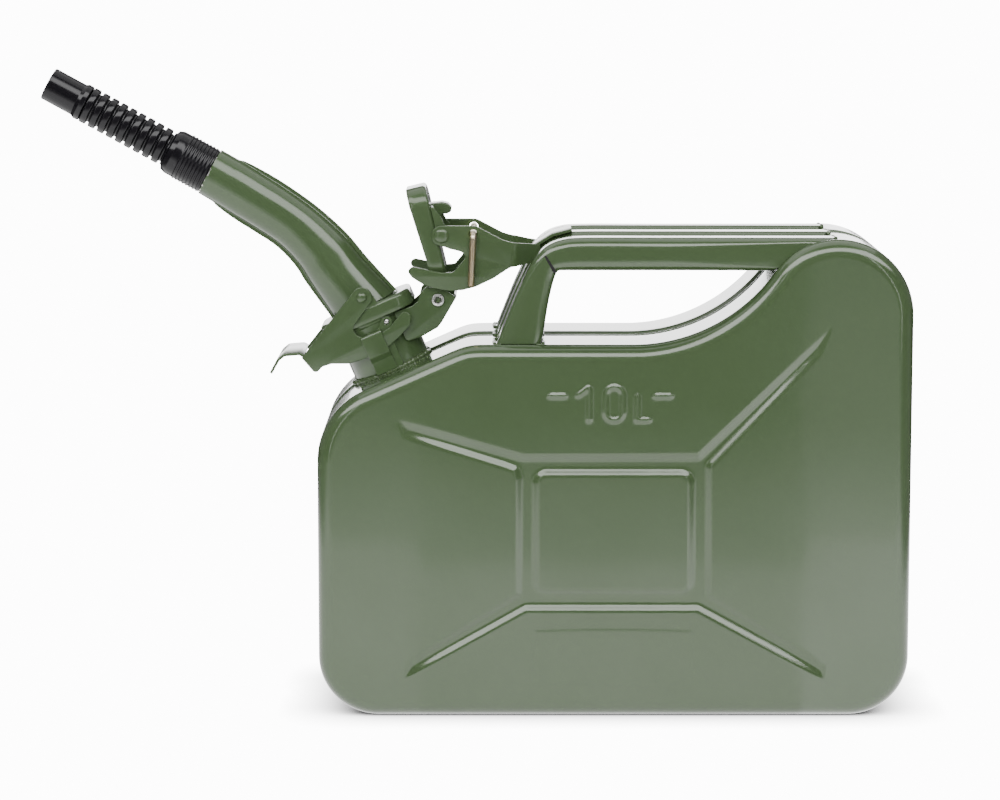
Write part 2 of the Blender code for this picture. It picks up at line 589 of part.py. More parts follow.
# ---- nozzle ---------------------------------------------------------------------
def make_nozzle(nozzle, mats):
    """Flexible plastic outlet; its axis is the local Z of the nozzle frame."""
    bore = 7.6
    collar = [(12.4, -11.0), (12.4, 0.4), (SPOUT_END_RADIUS, 0.4), (13.9, 16.0)]
    collar += [(13.7, COLLAR_LENGTH - 6.0), (12.4, COLLAR_LENGTH - 1.5), (10.4, COLLAR_LENGTH),
               (bore, COLLAR_LENGTH), (bore, 2.0), (11.2, -2.0), (11.2, -11.0)]
    turned("nozzle_collar", collar, nozzle, mats["plastic"], 24)

    outer = []
    for k in range(BELLOWS_RINGS):
        z = BELLOWS_START + k * BELLOWS_PITCH
        outer += [(8.9, z), (8.9, z + 1.6), (11.1, z + 2.0), (11.1, z + BELLOWS_PITCH - 0.4)]
    outer += [(8.9, BELLOWS_END), (bore, BELLOWS_END), (bore, BELLOWS_START)]
    turned("nozzle_bellows", outer, nozzle, mats["plastic"], 16)

    first, last = TIP_START, TIP_END
    tip = [(9.2, first), (11.1, first + 0.8), (11.1, first + 3.6), (TIP_RADIUS, first + 5.2),
           (TIP_RADIUS, last - 0.5), (9.6, last), (8.4, last), (bore, last - 1.0), (bore, first)]
    turned("nozzle_tip", tip, nozzle, mats["plastic"], 24)


def main():
    clear_scene()
    mats = {
        "enamel": material("olive_enamel", (0.118, 0.160, 0.075), 0.22, 0.0),
        "steel": material("plated_steel", (0.62, 0.62, 0.60), 0.28, 1.0),
        "brass": material("yellow_zinc", (0.72, 0.58, 0.36), 0.32, 1.0),
        "rubber": material("seal_rubber", (0.02, 0.02, 0.02), 0.7, 0.0),
        "plastic": material("black_plastic", (0.012, 0.011, 0.012), 0.25, 0.0),
    }
    enamel = mats["enamel"]
    can = empty("can_datum", None, -DATUM_X, 0.0)
    neck = empty("neck_axis", can, *NECK_ORIGIN, -SHOULDER_TILT)
    cap = empty("cap_hinge_axis", neck, *HINGE, CAP_OPEN_ANGLE)
    lever = empty("cap_lever_axis", cap, *CAP_PIVOT, SHOULDER_TILT - CAP_OPEN_ANGLE)
    pin = empty("locking_pin_axis", lever, 18.5, 1.0)
    nozzle = empty("nozzle_axis", can, *NOZZLE_START, NOZZLE_ANGLE - pi / 2)

    make_shell("shell_near", -1, can, neck, enamel)
    make_shell("shell_far", 1, can, neck, enamel)
    for name, place in (("near", -1), ("middle", 0), ("far", 1)):
        make_handle("handle_" + name, place * HANDLE_SPACING, can, enamel)
    make_neck(neck, enamel)
    make_catch("catch_near", -1, neck, enamel)
    make_catch("catch_far", 1, neck, enamel)
    make_hinge_bracket(neck, enamel)
    tubular_rivet("hinge_pin", *HINGE, 22.4, neck, mats["steel"])
    make_breather(can, mats["steel"])
    make_cap(cap, mats)
    make_cap_lever(lever, enamel)
    make_locking_pin(pin, mats["brass"])
    make_spout_base(neck, mats)
    make_spout_half("spout_half_near", -1, can, enamel)
    make_spout_half("spout_half_far", 1, can, enamel)
    make_spout_lever(neck, enamel)
    make_nozzle(nozzle, mats)


main()
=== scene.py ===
# %% [markdown]
# # A ten-litre steel fuel can with its pouring spout
#
# The real can is two deep-pressed steel halves seam-welded round the middle, three pressed
# handles, and a short neck with a cam-lever closure. Here the closure stands open and a curved
# spout with a soft plastic nozzle is clamped on the neck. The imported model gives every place
# and every hinge; this file adds the pressed curves, the rolled edges, the weld beads and the
# paint. Everything is worked out in millimetres, in the frame of the piece that it belongs to.

# %% Load the frame
import json
from math import cos, hypot, pi, radians, sin, tan
import bmesh
import bpy
import numpy as np
from mathutils import Matrix, Vector

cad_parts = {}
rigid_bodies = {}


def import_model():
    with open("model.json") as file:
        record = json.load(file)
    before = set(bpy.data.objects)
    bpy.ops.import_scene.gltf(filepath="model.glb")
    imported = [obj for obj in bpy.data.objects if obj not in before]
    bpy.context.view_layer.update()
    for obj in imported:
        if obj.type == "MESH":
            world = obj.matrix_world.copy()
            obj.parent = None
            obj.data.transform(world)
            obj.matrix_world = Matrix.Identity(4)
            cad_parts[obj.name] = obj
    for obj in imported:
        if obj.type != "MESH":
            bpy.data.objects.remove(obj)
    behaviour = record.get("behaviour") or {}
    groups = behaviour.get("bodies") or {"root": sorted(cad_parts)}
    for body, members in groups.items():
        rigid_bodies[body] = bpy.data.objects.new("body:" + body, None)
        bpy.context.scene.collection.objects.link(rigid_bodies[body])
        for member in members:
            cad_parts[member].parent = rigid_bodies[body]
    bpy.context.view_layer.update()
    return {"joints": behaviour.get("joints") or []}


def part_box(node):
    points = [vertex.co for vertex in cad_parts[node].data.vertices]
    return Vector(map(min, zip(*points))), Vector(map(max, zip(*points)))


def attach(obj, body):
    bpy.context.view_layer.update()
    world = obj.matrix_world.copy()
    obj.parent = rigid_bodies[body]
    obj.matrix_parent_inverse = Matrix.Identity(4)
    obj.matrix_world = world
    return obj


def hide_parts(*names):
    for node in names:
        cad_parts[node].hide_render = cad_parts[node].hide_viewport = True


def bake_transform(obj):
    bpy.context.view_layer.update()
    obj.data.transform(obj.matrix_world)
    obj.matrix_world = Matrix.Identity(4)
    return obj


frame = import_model()
joint_at = {j["name"]: Vector(j["pos_m"]) for j in frame["joints"]}

# %% [markdown]
# ## Work frames
#
# A fitter measures a neck part from the neck and a lever part from its pivot. Each of these
# matrices turns such local millimetres into metres in the can's own frame. Their origins come
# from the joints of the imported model, so a piece drawn round its pivot sits on its pivot.

# %% Frames of the can, neck, cap, levers and nozzle
MM = 0.001
SHOULDER = radians(24.0)
CAP_SWING = radians(100.2)
NOZZLE_RISE = radians(28.8)
BELLOWS_START, BELLOWS_END = 28.4, 82.4


def at(origin, turn, back_x=0.0, back_z=0.0):
    """Millimetres measured from a pivot that lies at (back_x, back_z) in the wanted frame."""
    spun = Matrix.Translation(origin) @ Matrix.Rotation(turn, 4, "Y") @ Matrix.Scale(MM, 4)
    return spun @ Matrix.Translation((-back_x, 0.0, -back_z))


CAN = at(Vector((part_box("shell_near")[0].x, 0.0, 0.0)), 0.0)
NECK = at(joint_at["spout_lever_pivot"], -SHOULDER, 2.1, 47.5)
CAP = at(joint_at["cap_hinge"], CAP_SWING - SHOULDER)
CAP_LEVER = at(joint_at["cap_lever_pivot"], 0.0)
PIN = at(joint_at["locking_pin_swing"], 0.0)
NOZZLE = at(joint_at["nozzle_flex"], NOZZLE_RISE - pi / 2, 0.0, (BELLOWS_START + BELLOWS_END) / 2)
print("neck stands at", [round(v, 4) for v in NECK.translation])

# %% [markdown]
# ## Camera
#
# A long lens from about two metres, slightly above the can, keeps its sides nearly parallel.

# %% Camera
camera = bpy.data.objects.new("camera", bpy.data.cameras.new("camera"))
bpy.context.scene.collection.objects.link(camera)
camera.location = (0.01586, -1.97503, 0.44738)
camera.rotation_euler = (radians(90.0 - 7.767), 0.0, 0.0)
camera.data.lens = 120.3
bpy.context.scene.camera = camera
print("camera lens", camera.data.lens)

# %% [markdown]
# ## Writing shaders as expressions
#
# A paint is easier to read as a formula than as a net of wires. `Reading` stands for one node
# output, and its operators add Math nodes. `Finish.node` makes any other node. A value that is
# the same all over the surface is set straight on the shader.

# %% A small shader language
class Reading:
    """One node output that takes part in arithmetic."""

    def __init__(self, finish, socket):
        self.finish, self.socket = finish, socket

    def maths(self, operation, *values):
        return self.finish.node("Math", {"operation": operation}, dict(enumerate(values)))

    def __add__(self, other):
        return self.maths("ADD", self, other)

    __radd__ = __add__

    def __sub__(self, other):
        return self.maths("SUBTRACT", self, other)

    def __rsub__(self, other):
        return self.maths("SUBTRACT", other, self)

    def __mul__(self, other):
        return self.maths("MULTIPLY", self, other)

    __rmul__ = __mul__

    def __truediv__(self, other):
        return self.maths("DIVIDE", self, other)

    def between(self, low, high):
        """0 below low, 1 above high and a smooth rise from one to the other."""
        sockets = {"Value": self, "From Min": low, "From Max": high}
        return self.finish.node("MapRange", {"interpolation_type": "SMOOTHSTEP"}, sockets)


class Finish:
    """A material that is built up around one Principled shader."""

    def __init__(self, name, slot, **fixed):
        self.material = bpy.data.materials.new(name)
        self.material.use_nodes = True
        self.material["slot"] = slot
        self.tree = self.material.node_tree
        self.shader = self.tree.nodes["Principled BSDF"]
        self.feed({key.replace("_", " "): value for key, value in fixed.items()})
        self.place = self.node("TexCoord", output="Object")

    def node(self, kind, settings=None, sockets=None, output=0):
        node = self.tree.nodes.new("ShaderNode" + kind)
        for key, value in (settings or {}).items():
            setattr(node, key, value)
        for key, value in (sockets or {}).items():
            self.wire(node.inputs[key], value)
        return Reading(self, node.outputs[output])

    def wire(self, target, value):
        if isinstance(value, Reading):
            self.tree.links.new(value.socket, target)
        else:
            target.default_value = value

    def feed(self, sockets):
        for key, value in sockets.items():
            self.wire(self.shader.inputs[key], value)

    def noise(self, scale, detail=2.0, stretch=None, roughness=0.5):
        """Cloudy variation from 0 to 1; scale is in lumps per metre."""
        where = self.place
        if stretch:
            where = self.node("VectorMath", {"operation": "MULTIPLY"}, {0: where, 1: stretch})
        sockets = {"Vector": where, "Scale": scale, "Detail": detail, "Roughness": roughness}
        return self.node("TexNoise", None, sockets)

    def mix(self, share, first, second):
        """Blend two colours."""
        return self.node("Mix", {"data_type": "RGBA"}, {0: share, 6: first, 7: second}, 2)

    def relief(self, height, depth):
        """Raise the surface by height times depth metres."""
        bump = self.node("Bump", None, {"Strength": 1.0, "Distance": depth, "Height": height})
        self.feed({"Normal": bump})


def paint(red, green, blue):
    return (red, green, blue, 1.0)


print("shader language ready")

# %% [markdown]
# ## Olive enamel
#
# The paint is a thick gloss enamel. Three things make it look sprayed: the orange peel, which
# is a shallow ripple one or two millimetres wide, a slow drift in tone where the coat is
# thinner, and a few dust nibs. The welds get the same paint over a lumpy, spattered ground.

# %% Enamel finishes
OLIVE = paint(0.096, 0.158, 0.064)
OLIVE_THIN = paint(0.111, 0.174, 0.078)
BARE_STEEL = paint(0.62, 0.61, 0.58)


def enamel(name, peel=0.00002, peel_scale=520.0, roughness=0.13, wet=0.25, gloss=0.5):
    """Gloss olive enamel; peel is the depth of its ripple in metres."""
    coat = Finish(name, "olive_enamel", IOR=1.5, Coat_Roughness=0.03, Specular_IOR_Level=gloss)
    drift = coat.noise(16.0, 3.0)
    nibs = coat.noise(1400.0, 1.0).between(0.74, 0.80)
    coat.feed({"Base Color": coat.mix(drift, OLIVE, OLIVE_THIN)})
    coat.feed({"Roughness": roughness + 0.05 * coat.noise(45.0, 4.0)})
    coat.feed({"Coat Weight": wet + 0.8 * wet * drift})
    coat.relief(coat.noise(peel_scale, 1.5) + 0.35 * coat.noise(peel_scale * 0.22, 1.0) + nibs, peel)
    return coat


body_enamel = enamel("body_enamel").material
part_enamel = enamel("small_part_enamel", 0.000016, 600.0, roughness=0.16, wet=0.12, gloss=0.4).material
handle_enamel = enamel("handle_enamel", peel=0.000016, peel_scale=430.0, roughness=0.12).material
print("enamels made")


# %% Painted welds and the chipped spout end
def weld_finish():
    weld = Finish("painted_weld", "olive_enamel", IOR=1.5)
    lumps = weld.noise(420.0, 4.0, roughness=0.6)
    pits = weld.noise(700.0, 3.0).between(0.66, 0.72)
    toned = weld.mix(weld.noise(120.0), OLIVE, paint(0.135, 0.19, 0.09))
    weld.feed({"Base Color": weld.mix(pits, toned, paint(0.16, 0.20, 0.13))})
    weld.feed({"Roughness": 0.1 + 0.2 * lumps})
    weld.relief(lumps - 0.5 * pits, 0.00022)
    return weld.material


def chipped_finish():
    """Spout enamel, with the coat flaked off along the last millimetres before the nozzle."""
    coat = Finish("spout_enamel", "olive_enamel", IOR=1.5)
    drift = coat.noise(20.0, 3.0)
    axis = (-cos(NOZZLE_RISE), 0.0, sin(NOZZLE_RISE))
    end = Vector(axis).dot(NOZZLE.translation)
    along = coat.node("VectorMath", {"operation": "DOT_PRODUCT"}, {0: coat.place, 1: axis}, 1)
    ragged = along - end + 0.007 * coat.noise(330.0, 4.0, roughness=0.7)
    chips = ragged.between(0.0034, 0.0037)
    coat.feed({"Base Color": coat.mix(chips, coat.mix(drift, OLIVE, OLIVE_THIN), BARE_STEEL)})
    coat.feed({"Metallic": chips, "Roughness": 0.12 + 0.05 * drift + 0.2 * chips})
    coat.relief(coat.noise(480.0, 1.5) - 4.0 * chips, 0.000018)
    return coat.material


weld_enamel = weld_finish()
spout_enamel = chipped_finish()
print("weld and spout finishes made")

# %% [markdown]
# ## Plating, rubber and plastic
#
# The tubular hinge pin is bright zinc, with faint turning lines. The locking pin is yellow
# passivated: straw gold with grey rubbed patches. The nozzle is a glossy black moulding whose
# skin shows flow marks and light scuffs; the gaskets are matte.

# %% Metal, rubber and plastic finishes
def plated(name, slot, bright, dull, streak):
    metal = Finish(name, slot, Metallic=1.0)
    worn = metal.noise(260.0, 4.0, stretch=streak, roughness=0.6)
    metal.feed({"Base Color": metal.mix(worn.between(0.42, 0.62), bright, dull)})
    metal.feed({"Roughness": 0.16 + 0.3 * worn})
    metal.relief(metal.noise(1500.0, 2.0, stretch=streak), 0.00001)
    return metal.material


def moulded(name, slot, colour, scuffed, gloss, grain, depth):
    skin = Finish(name, slot, IOR=1.48, Specular_IOR_Level=0.3)
    flow = skin.noise(55.0, 3.0, stretch=(1.0, 1.0, 0.4))
    scuff = skin.noise(260.0, 4.0, roughness=0.6).between(0.60, 0.76)
    skin.feed({"Base Color": skin.mix(scuff * flow, colour, scuffed)})
    skin.feed({"Roughness": gloss + 0.12 * flow + 0.18 * scuff})
    skin.relief(skin.noise(grain, 1.0) + 0.4 * flow, depth)
    return skin.material


zinc = plated("bright_zinc", "plated_steel", paint(0.72, 0.72, 0.70),
              paint(0.50, 0.50, 0.48), (1, 0.2, 1))
straw = plated("straw_zinc", "yellow_zinc", paint(0.80, 0.64, 0.40),
               paint(0.52, 0.45, 0.34), (1, 1, 0.15))
# This black rubber finish is the gaskets' own colour, and it also paints the shade in the handles' mitre
# gaps.
rubber_and_gap_shade = moulded("gasket_rubber_and_gap_shade", "seal_rubber", paint(0.018, 0.018, 0.018), paint(0.06, 0.06, 0.058),
                 0.55, 1300.0, 0.00003)
plastic = moulded("nozzle_plastic", "black_plastic", paint(0.012, 0.011, 0.014),
                  paint(0.03, 0.028, 0.031), 0.1, 300.0, 0.000002)
print("metal, rubber and plastic made")

# %% [markdown]
# ## Workshop tools
#
# Nearly all of the can is bent or turned sheet, so a few tools make most of it: a loft through
# rings of points, a turned section, a flat blank with softened edges, and a bent strip.
# `rounded` gives a drawn outline its bend radii, as a press tool would.

# %% Outlines
def rounded(points, radius, closed=True, steps=6):
    """Turn every corner of a polyline into an arc of the given radius, where it fits."""
    result = []
    for i, corner in enumerate(points):
        if not closed and i in (0, len(points) - 1):
            result.append(tuple(corner))
            continue
        here = Vector(corner)
        a = Vector(points[i - 1]) - here
        b = Vector(points[(i + 1) % len(points)]) - here
        half = a.angle(b) / 2
        if half > radians(89.0):
            result.append(tuple(corner))
            continue
        reach = min(radius / tan(half), 0.48 * a.length, 0.48 * b.length)
        centre = here + (a.normalized() + b.normalized()).normalized() * reach / cos(half)
        first = here + a.normalized() * reach - centre
        last = here + b.normalized() * reach - centre
        sweep = first.angle(last)
        for k in range(steps + 1):
            t = k / steps
            spoke = (first * sin((1 - t) * sweep) + last * sin(t * sweep)) / sin(sweep)
            result.append(tuple(centre + spoke))
    return result


def circle(x, z, radius, sides=40):
    return [(x + radius * cos(2 * pi * k / sides), z + radius * sin(2 * pi * k / sides))
            for k in range(sides)]


def strip_outline(route, thickness, radius):
    """Edge view of a sheet strip bent along a route."""
    line = [Vector(p) for p in rounded(route, radius, closed=False)]
    left, right = [], []
    for i, p in enumerate(line):
        along = (line[min(i + 1, len(line) - 1)] - line[max(i - 1, 0)]).normalized()
        across = Vector((-along.y, along.x)) * thickness / 2
        left.append(tuple(p + across))
        right.append(tuple(p - across))
    return left + right[::-1]


def smooth_path(points, steps=6):
    """A curve through all the points (Catmull-Rom), in any number of dimensions."""
    knots = np.array(points, float)
    ends = np.vstack([2 * knots[0] - knots[1], knots, 2 * knots[-1] - knots[-2]])
    line = []
    for p0, p1, p2, p3 in zip(ends, ends[1:], ends[2:], ends[3:]):
        for k in range(steps):
            t = k / steps
            line.append(0.5 * (2 * p1 + (p2 - p0) * t + (2 * p0 - 5 * p1 + 4 * p2 - p3) * t * t
                               + (3 * p1 - p0 - 3 * p2 + p3) * t ** 3))
    return np.array(line + [knots[-1]])


print("a softened square has", len(rounded([(0, 0), (1, 0), (1, 1), (0, 1)], 0.2)), "points")


# %% Solids from outlines
def loft(rings, around=True, along=False, caps=False):
    """Quads between rows of equal rings of points."""
    points = np.array(rings, float)
    rows, count = points.shape[:2]
    index = np.arange(rows * count).reshape(rows, count)
    low, high = (index, np.roll(index, -1, 0)) if along else (index[:-1], index[1:])
    if around:
        quads = [low, np.roll(low, -1, 1), np.roll(high, -1, 1), high]
    else:
        quads = [low[:, :-1], low[:, 1:], high[:, 1:], high[:, :-1]]
    faces = np.stack(quads, -1).reshape(-1, 4).tolist()
    if caps:
        faces += [index[0].tolist(), index[-1].tolist()]
    mesh = bpy.data.meshes.new("loft")
    mesh.from_pydata(points.reshape(-1, 3).tolist(), [], faces)
    return mesh


def turned(profile, sides=72):
    """Spin a closed (radius, height) section round Z."""
    section = np.array(profile, float)
    spin = np.arange(sides) * 2 * pi / sides
    rings = [np.column_stack([section[:, 0] * cos(a), section[:, 0] * sin(a), section[:, 1]])
             for a in spin]
    return loft(rings, along=True)


def blank(outline, low, high, holes=(), edge=0.35):
    """A flat sheet blank in XZ, thick along Y, with softened edges."""
    curve = bpy.data.curves.new("blank", "CURVE")
    curve.dimensions, curve.fill_mode = "2D", "BOTH"
    curve.extrude = (high - low) / 2 - edge
    curve.bevel_depth, curve.bevel_resolution, curve.offset = edge, 2, -edge
    for loop in (outline, *holes):
        spline = curve.splines.new("POLY")
        spline.points.add(len(loop) - 1)
        for point, (x, z) in zip(spline.points, loop):
            point.co = (x, z, 0.0, 1.0)
        spline.use_cyclic_u = True
    holder = bpy.data.objects.new("blank", curve)
    bpy.context.scene.collection.objects.link(holder)
    graph = bpy.context.evaluated_depsgraph_get()
    mesh = bpy.data.meshes.new_from_object(holder.evaluated_get(graph))
    bpy.data.objects.remove(holder)
    mesh.materials.clear()
    mesh.transform(Matrix.Translation((0, (low + high) / 2, 0)) @ Matrix.Rotation(pi / 2, 4, "X"))
    return mesh


def tube(route, radius):
    """A round bar along a path of points, closed at both ends."""
    curve = bpy.data.curves.new("tube", "CURVE")
    curve.dimensions, curve.bevel_depth = "3D", 1.0
    curve.bevel_resolution, curve.use_fill_caps = 5, True
    spline = curve.splines.new("POLY")
    spline.points.add(len(route) - 1)
    thick = radius if hasattr(radius, "__len__") else [radius] * len(route)
    for point, place, r in zip(spline.points, route, thick):
        point.co, point.radius = (*place, 1.0), r
    holder = bpy.data.objects.new("tube", curve)
    bpy.context.scene.collection.objects.link(holder)
    graph = bpy.context.evaluated_depsgraph_get()
    mesh = bpy.data.meshes.new_from_object(holder.evaluated_get(graph))
    bpy.data.objects.remove(holder)
    mesh.materials.clear()
    return mesh


def joined(*meshes):
    """Several meshes as one."""
    bm = bmesh.new()
    for mesh in meshes:
        bm.from_mesh(mesh)
    result = bpy.data.meshes.new("joined")
    bm.to_mesh(result)
    bm.free()
    return result


def piece(name, mesh, place, finish, body, *nodes, sharp=38.0):
    """Place, paint and smooth a mesh. It rides on a body given by name; given anything else, it stays
    fixed where it is placed.
    """
    bm = bmesh.new()
    bm.from_mesh(mesh)
    bmesh.ops.remove_doubles(bm, verts=bm.verts, dist=0.005)
    bmesh.ops.recalc_face_normals(bm, faces=bm.faces)
    bm.to_mesh(mesh)
    bm.free()
    mesh.transform(place)
    mesh.name = name
    mesh.materials.append(finish)
    mesh.shade_smooth()
    mesh.set_sharp_from_angle(angle=radians(sharp))
    obj = bpy.data.objects.new(name, mesh)
    bpy.context.scene.collection.objects.link(obj)
    if isinstance(body, str):
        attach(obj, body)
    else:
        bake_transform(obj)
    if nodes:
        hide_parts(*nodes)
    print(f"{name}: {len(mesh.polygons)} faces")
    return obj


# %% [markdown]
# ## The pressed halves
#
# Each half is one sheet: a flat face with an X-shaped channel pressed in, a panel left standing
# in the middle, a rounded edge, a side wall, and a groove where the two halves meet in a thin
# standing seam. A boolean can't give the soft bends of a press tool, so the face is a grid
# whose depth is a formula: the distance to each outline, passed through a rounded ramp.

# %% Side view of the can
LENGTH, HALF_THICKNESS = 345.0, 64.8
LOW_CORNER, FILLER_CORNER, HUMP = 35.0, 45.0, 44.0
DECK = 218.0                      # flat top under the handles
HUMP_CENTRE = (301.0, 235.0)
SWEEP_CENTRE_X, SWEEP = 183.0, 100.63
CREST = (265.1, 260.4)            # where the carrying recess runs into the hump
EDGE = 9.0                        # width of the rounded edge of the face
COLUMNS, ROWS = 330, 200


def quarter(radius, run):
    """Rise of a round corner at a distance from its end."""
    return np.sqrt(np.maximum(radius ** 2 - (radius - run) ** 2, 0.0))


def top_line(x, crowned):
    """Height of the can's top edge; crowned is 1 at the faces and 0 under the handles."""
    shoulder = 198.0 + (x - 42.5) * tan(SHOULDER)
    soft = 1.2
    deck = shoulder - soft * np.log1p(np.exp((shoulder - DECK) / soft))
    drop = (FILLER_CORNER - sin(SHOULDER) * (FILLER_CORNER - 42.5)) / cos(SHOULDER)
    corner = 198.0 - drop + quarter(FILLER_CORNER, x)
    height = np.where(x < FILLER_CORNER * (1 - sin(SHOULDER)), corner, deck)
    sweep = DECK + SWEEP - np.sqrt(np.maximum(SWEEP ** 2 - (x - SWEEP_CENTRE_X) ** 2, 0.0))
    height = np.where(x > SWEEP_CENTRE_X, sweep, height)
    arch = HUMP_CENTRE[1] + quarter(HUMP, np.minimum(x - HUMP_CENTRE[0] + HUMP, HUMP))
    chord = CREST[1] + (x - CREST[0]) * (279.0 - CREST[1]) / (HUMP_CENTRE[0] - CREST[0])
    height = np.where(x > CREST[0], crowned * arch + (1 - crowned) * chord, height)
    return np.where(x > HUMP_CENTRE[0], HUMP_CENTRE[1] + quarter(HUMP, LENGTH - x), height)


def bottom_line(x):
    return LOW_CORNER - quarter(LOW_CORNER, np.minimum(np.minimum(x, LENGTH - x), LOW_CORNER))


def column_places():
    """Columns crowd together where the corners turn upright."""
    turn = np.linspace(0.0, pi / 2, 34)
    left, right = HUMP * (1 - np.cos(turn)), LENGTH - HUMP * (1 - np.cos(turn[::-1]))
    middle = np.linspace(HUMP, LENGTH - HUMP, COLUMNS - 2 * len(turn) + 3)[1:-1]
    return np.concatenate([left, middle, right])


def loop(crowned):
    """The can's outline as four sides of matching samples, with outward normals."""
    x = column_places()
    bottom = np.column_stack([x, bottom_line(x)])
    top = np.column_stack([x, top_line(x, crowned)])
    share = np.linspace(0, 1, ROWS + 1)[1:-1, None]
    right = bottom[-1] + (top[-1] - bottom[-1]) * share
    left = top[0] + (bottom[0] - top[0]) * share
    outline = np.vstack([bottom, right, top[::-1], left])
    along = np.roll(outline, -1, 0) - np.roll(outline, 1, 0)
    normal = np.column_stack([along[:, 1], -along[:, 0]])
    return outline, normal / np.linalg.norm(normal, axis=1)[:, None]


face_loop, face_normal = loop(1.0)
print("outline samples", len(face_loop), "height", round(face_loop[:, 1].max(), 1))


# %% Depth of the pressing at a point of the face
def distance_to(outline, x, z):
    """Signed distance to a polygon: negative inside."""
    corners = np.array(outline, float)
    best = np.full(x.shape, 1e9)
    inside = np.zeros(x.shape, bool)
    for (ax, az), (bx, bz) in zip(corners, np.roll(corners, -1, 0)):
        ex, ez = bx - ax, bz - az
        t = np.clip(((x - ax) * ex + (z - az) * ez) / (ex * ex + ez * ez), 0.0, 1.0)
        best = np.minimum(best, np.hypot(x - ax - t * ex, z - az - t * ez))
        crosses = (az > z) != (bz > z)
        inside ^= crosses & (x < ax + (z - az) * ex / (ez if ez else 1e-9))
    return np.where(inside, -best, best)


def distance_to_box(x, z, cx, cz, half_x, half_z, radius):
    dx, dz = np.abs(x - cx) - half_x + radius, np.abs(z - cz) - half_z + radius
    outside = np.hypot(np.maximum(dx, 0), np.maximum(dz, 0))
    return outside + np.minimum(np.maximum(dx, dz), 0) - radius


def distance_to_stroke(x, z, route):
    best = np.full(x.shape, 1e9)
    for (ax, az), (bx, bz) in zip(route, route[1:]):
        ex, ez = bx - ax, bz - az
        t = np.clip(((x - ax) * ex + (z - az) * ez) / (ex * ex + ez * ez), 0.0, 1.0)
        best = np.minimum(best, np.hypot(x - ax - t * ex, z - az - t * ez))
    return best


def ramp(distance, width, bend=0.2):
    """From 0 outside to 1 inside over a width: a straight slope with a bend at each end."""
    t = np.clip(-distance / width, 0.0, 1.0)
    slope = 1.0 / (1.0 - bend)
    rise = np.where(t < bend, slope * t * t / (2 * bend), slope * (t - bend / 2))
    return np.where(t > 1 - bend, 1 - slope * (1 - t) ** 2 / (2 * bend), rise)


CHANNEL = [(50.0, 22.5), (121.5, 62.8), (221.0, 62.8), (295.5, 22.0), (296.0, 31.0), (229.0, 72.5),
           (228.6, 148.0), (291.0, 214.0), (297.0, 229.0), (220.5, 154.9), (120.0, 154.5),
           (47.0, 175.0), (50.5, 165.5), (108.5, 147.3), (114.2, 145.2), (115.6, 141.0),
           (115.4, 73.0), (52.0, 33.0)]
DASHES = [[(135.2, 189.3), (143.6, 189.3)], [(196.0, 189.2), (204.4, 189.2)]]
ONE = [(151.4, 189.6), (157.0, 194.2), (157.6, 193.4), (157.6, 175.2)]
SMALL_L = [(185.3, 189.4), (185.3, 175.2), (191.8, 175.2)]


def pressing(x, z, marked):
    """How far the face is pushed in at a point, in millimetres; proud marks are negative."""
    channel = ramp(distance_to(CHANNEL, x, z) - 0.4, 4.4)
    panel = distance_to_box(x, z, 171.95, 109.1, 47.5, 37.6, 8.5)
    depth = 2.3 * channel * (1 - ramp(panel, 4.4))
    from_middle = np.abs(x - 172.5)
    depth = depth * (1 - 0.75 * np.clip((from_middle - 95.0) / 30.0, 0, 1) ** 1.5)
    bow = 1.6 * (1 - ((x - 172.3) / 47.0) ** 2)
    plate = distance_to_box(x, z + np.sign(z - 35.4) * -bow * 0.6, 172.3, 35.4, 47.0, 16.4, 1.5)
    depth = depth - 0.13 * ramp(plate, 2.0)
    if marked:
        strokes = np.minimum.reduce([distance_to_stroke(x, z, s) for s in (*DASHES, ONE, SMALL_L)])
        zero = np.abs(distance_to_box(x, z, 172.0, 184.8, 4.9, 9.7, 4.6))
        depth = depth - 1.1 * ramp(np.minimum(strokes, zero) - 1.95, 1.5)
    ripple = np.sin(x / 17.0 + 1.3) * np.sin(z / 23.0) + 0.6 * np.sin(x / 41.0 - z / 31.0)
    return depth + 0.035 * ripple


print("channel depth", round(float(pressing(np.array([118.0]), np.array([100.0]), False)[0]), 2), "mm")


# %% Build both halves
def section_steps():
    """(inset, distance from the seam plane, crowned) from the face edge to the seam."""
    steps = []
    for a in np.linspace(pi / 2, 0.0, 13)[1:]:
        steps.append((EDGE * (1 - cos(a)), HALF_THICKNESS - EDGE + EDGE * sin(a), 1.0))
    for y in (55.2, 53.6, 51.5):
        steps.append((0.0, y, (y - 50.0) / 6.0))
    steps += [(0.0, y, 0.0) for y in (49.0, 40.0, 30.0, 20.0, 13.0)]
    for t in np.linspace(0.1, 1.0, 9):
        steps.append((4.0 * t * t * (3 - 2 * t), 11.5 - 7.5 * t, 0.0))
    steps += [(4.0, 2.6, 0.0), (3.85, 2.1, 0.0), (3.4, 1.8, 0.0), (1.3, 1.65, 0.0), (0.9, 1.5, 0.0),
              (0.65, 1.1, 0.0), (0.6, 0.5, 0.0), (0.75, 0.17, 0.0), (3.0, 0.16, 0.0)]
    return steps


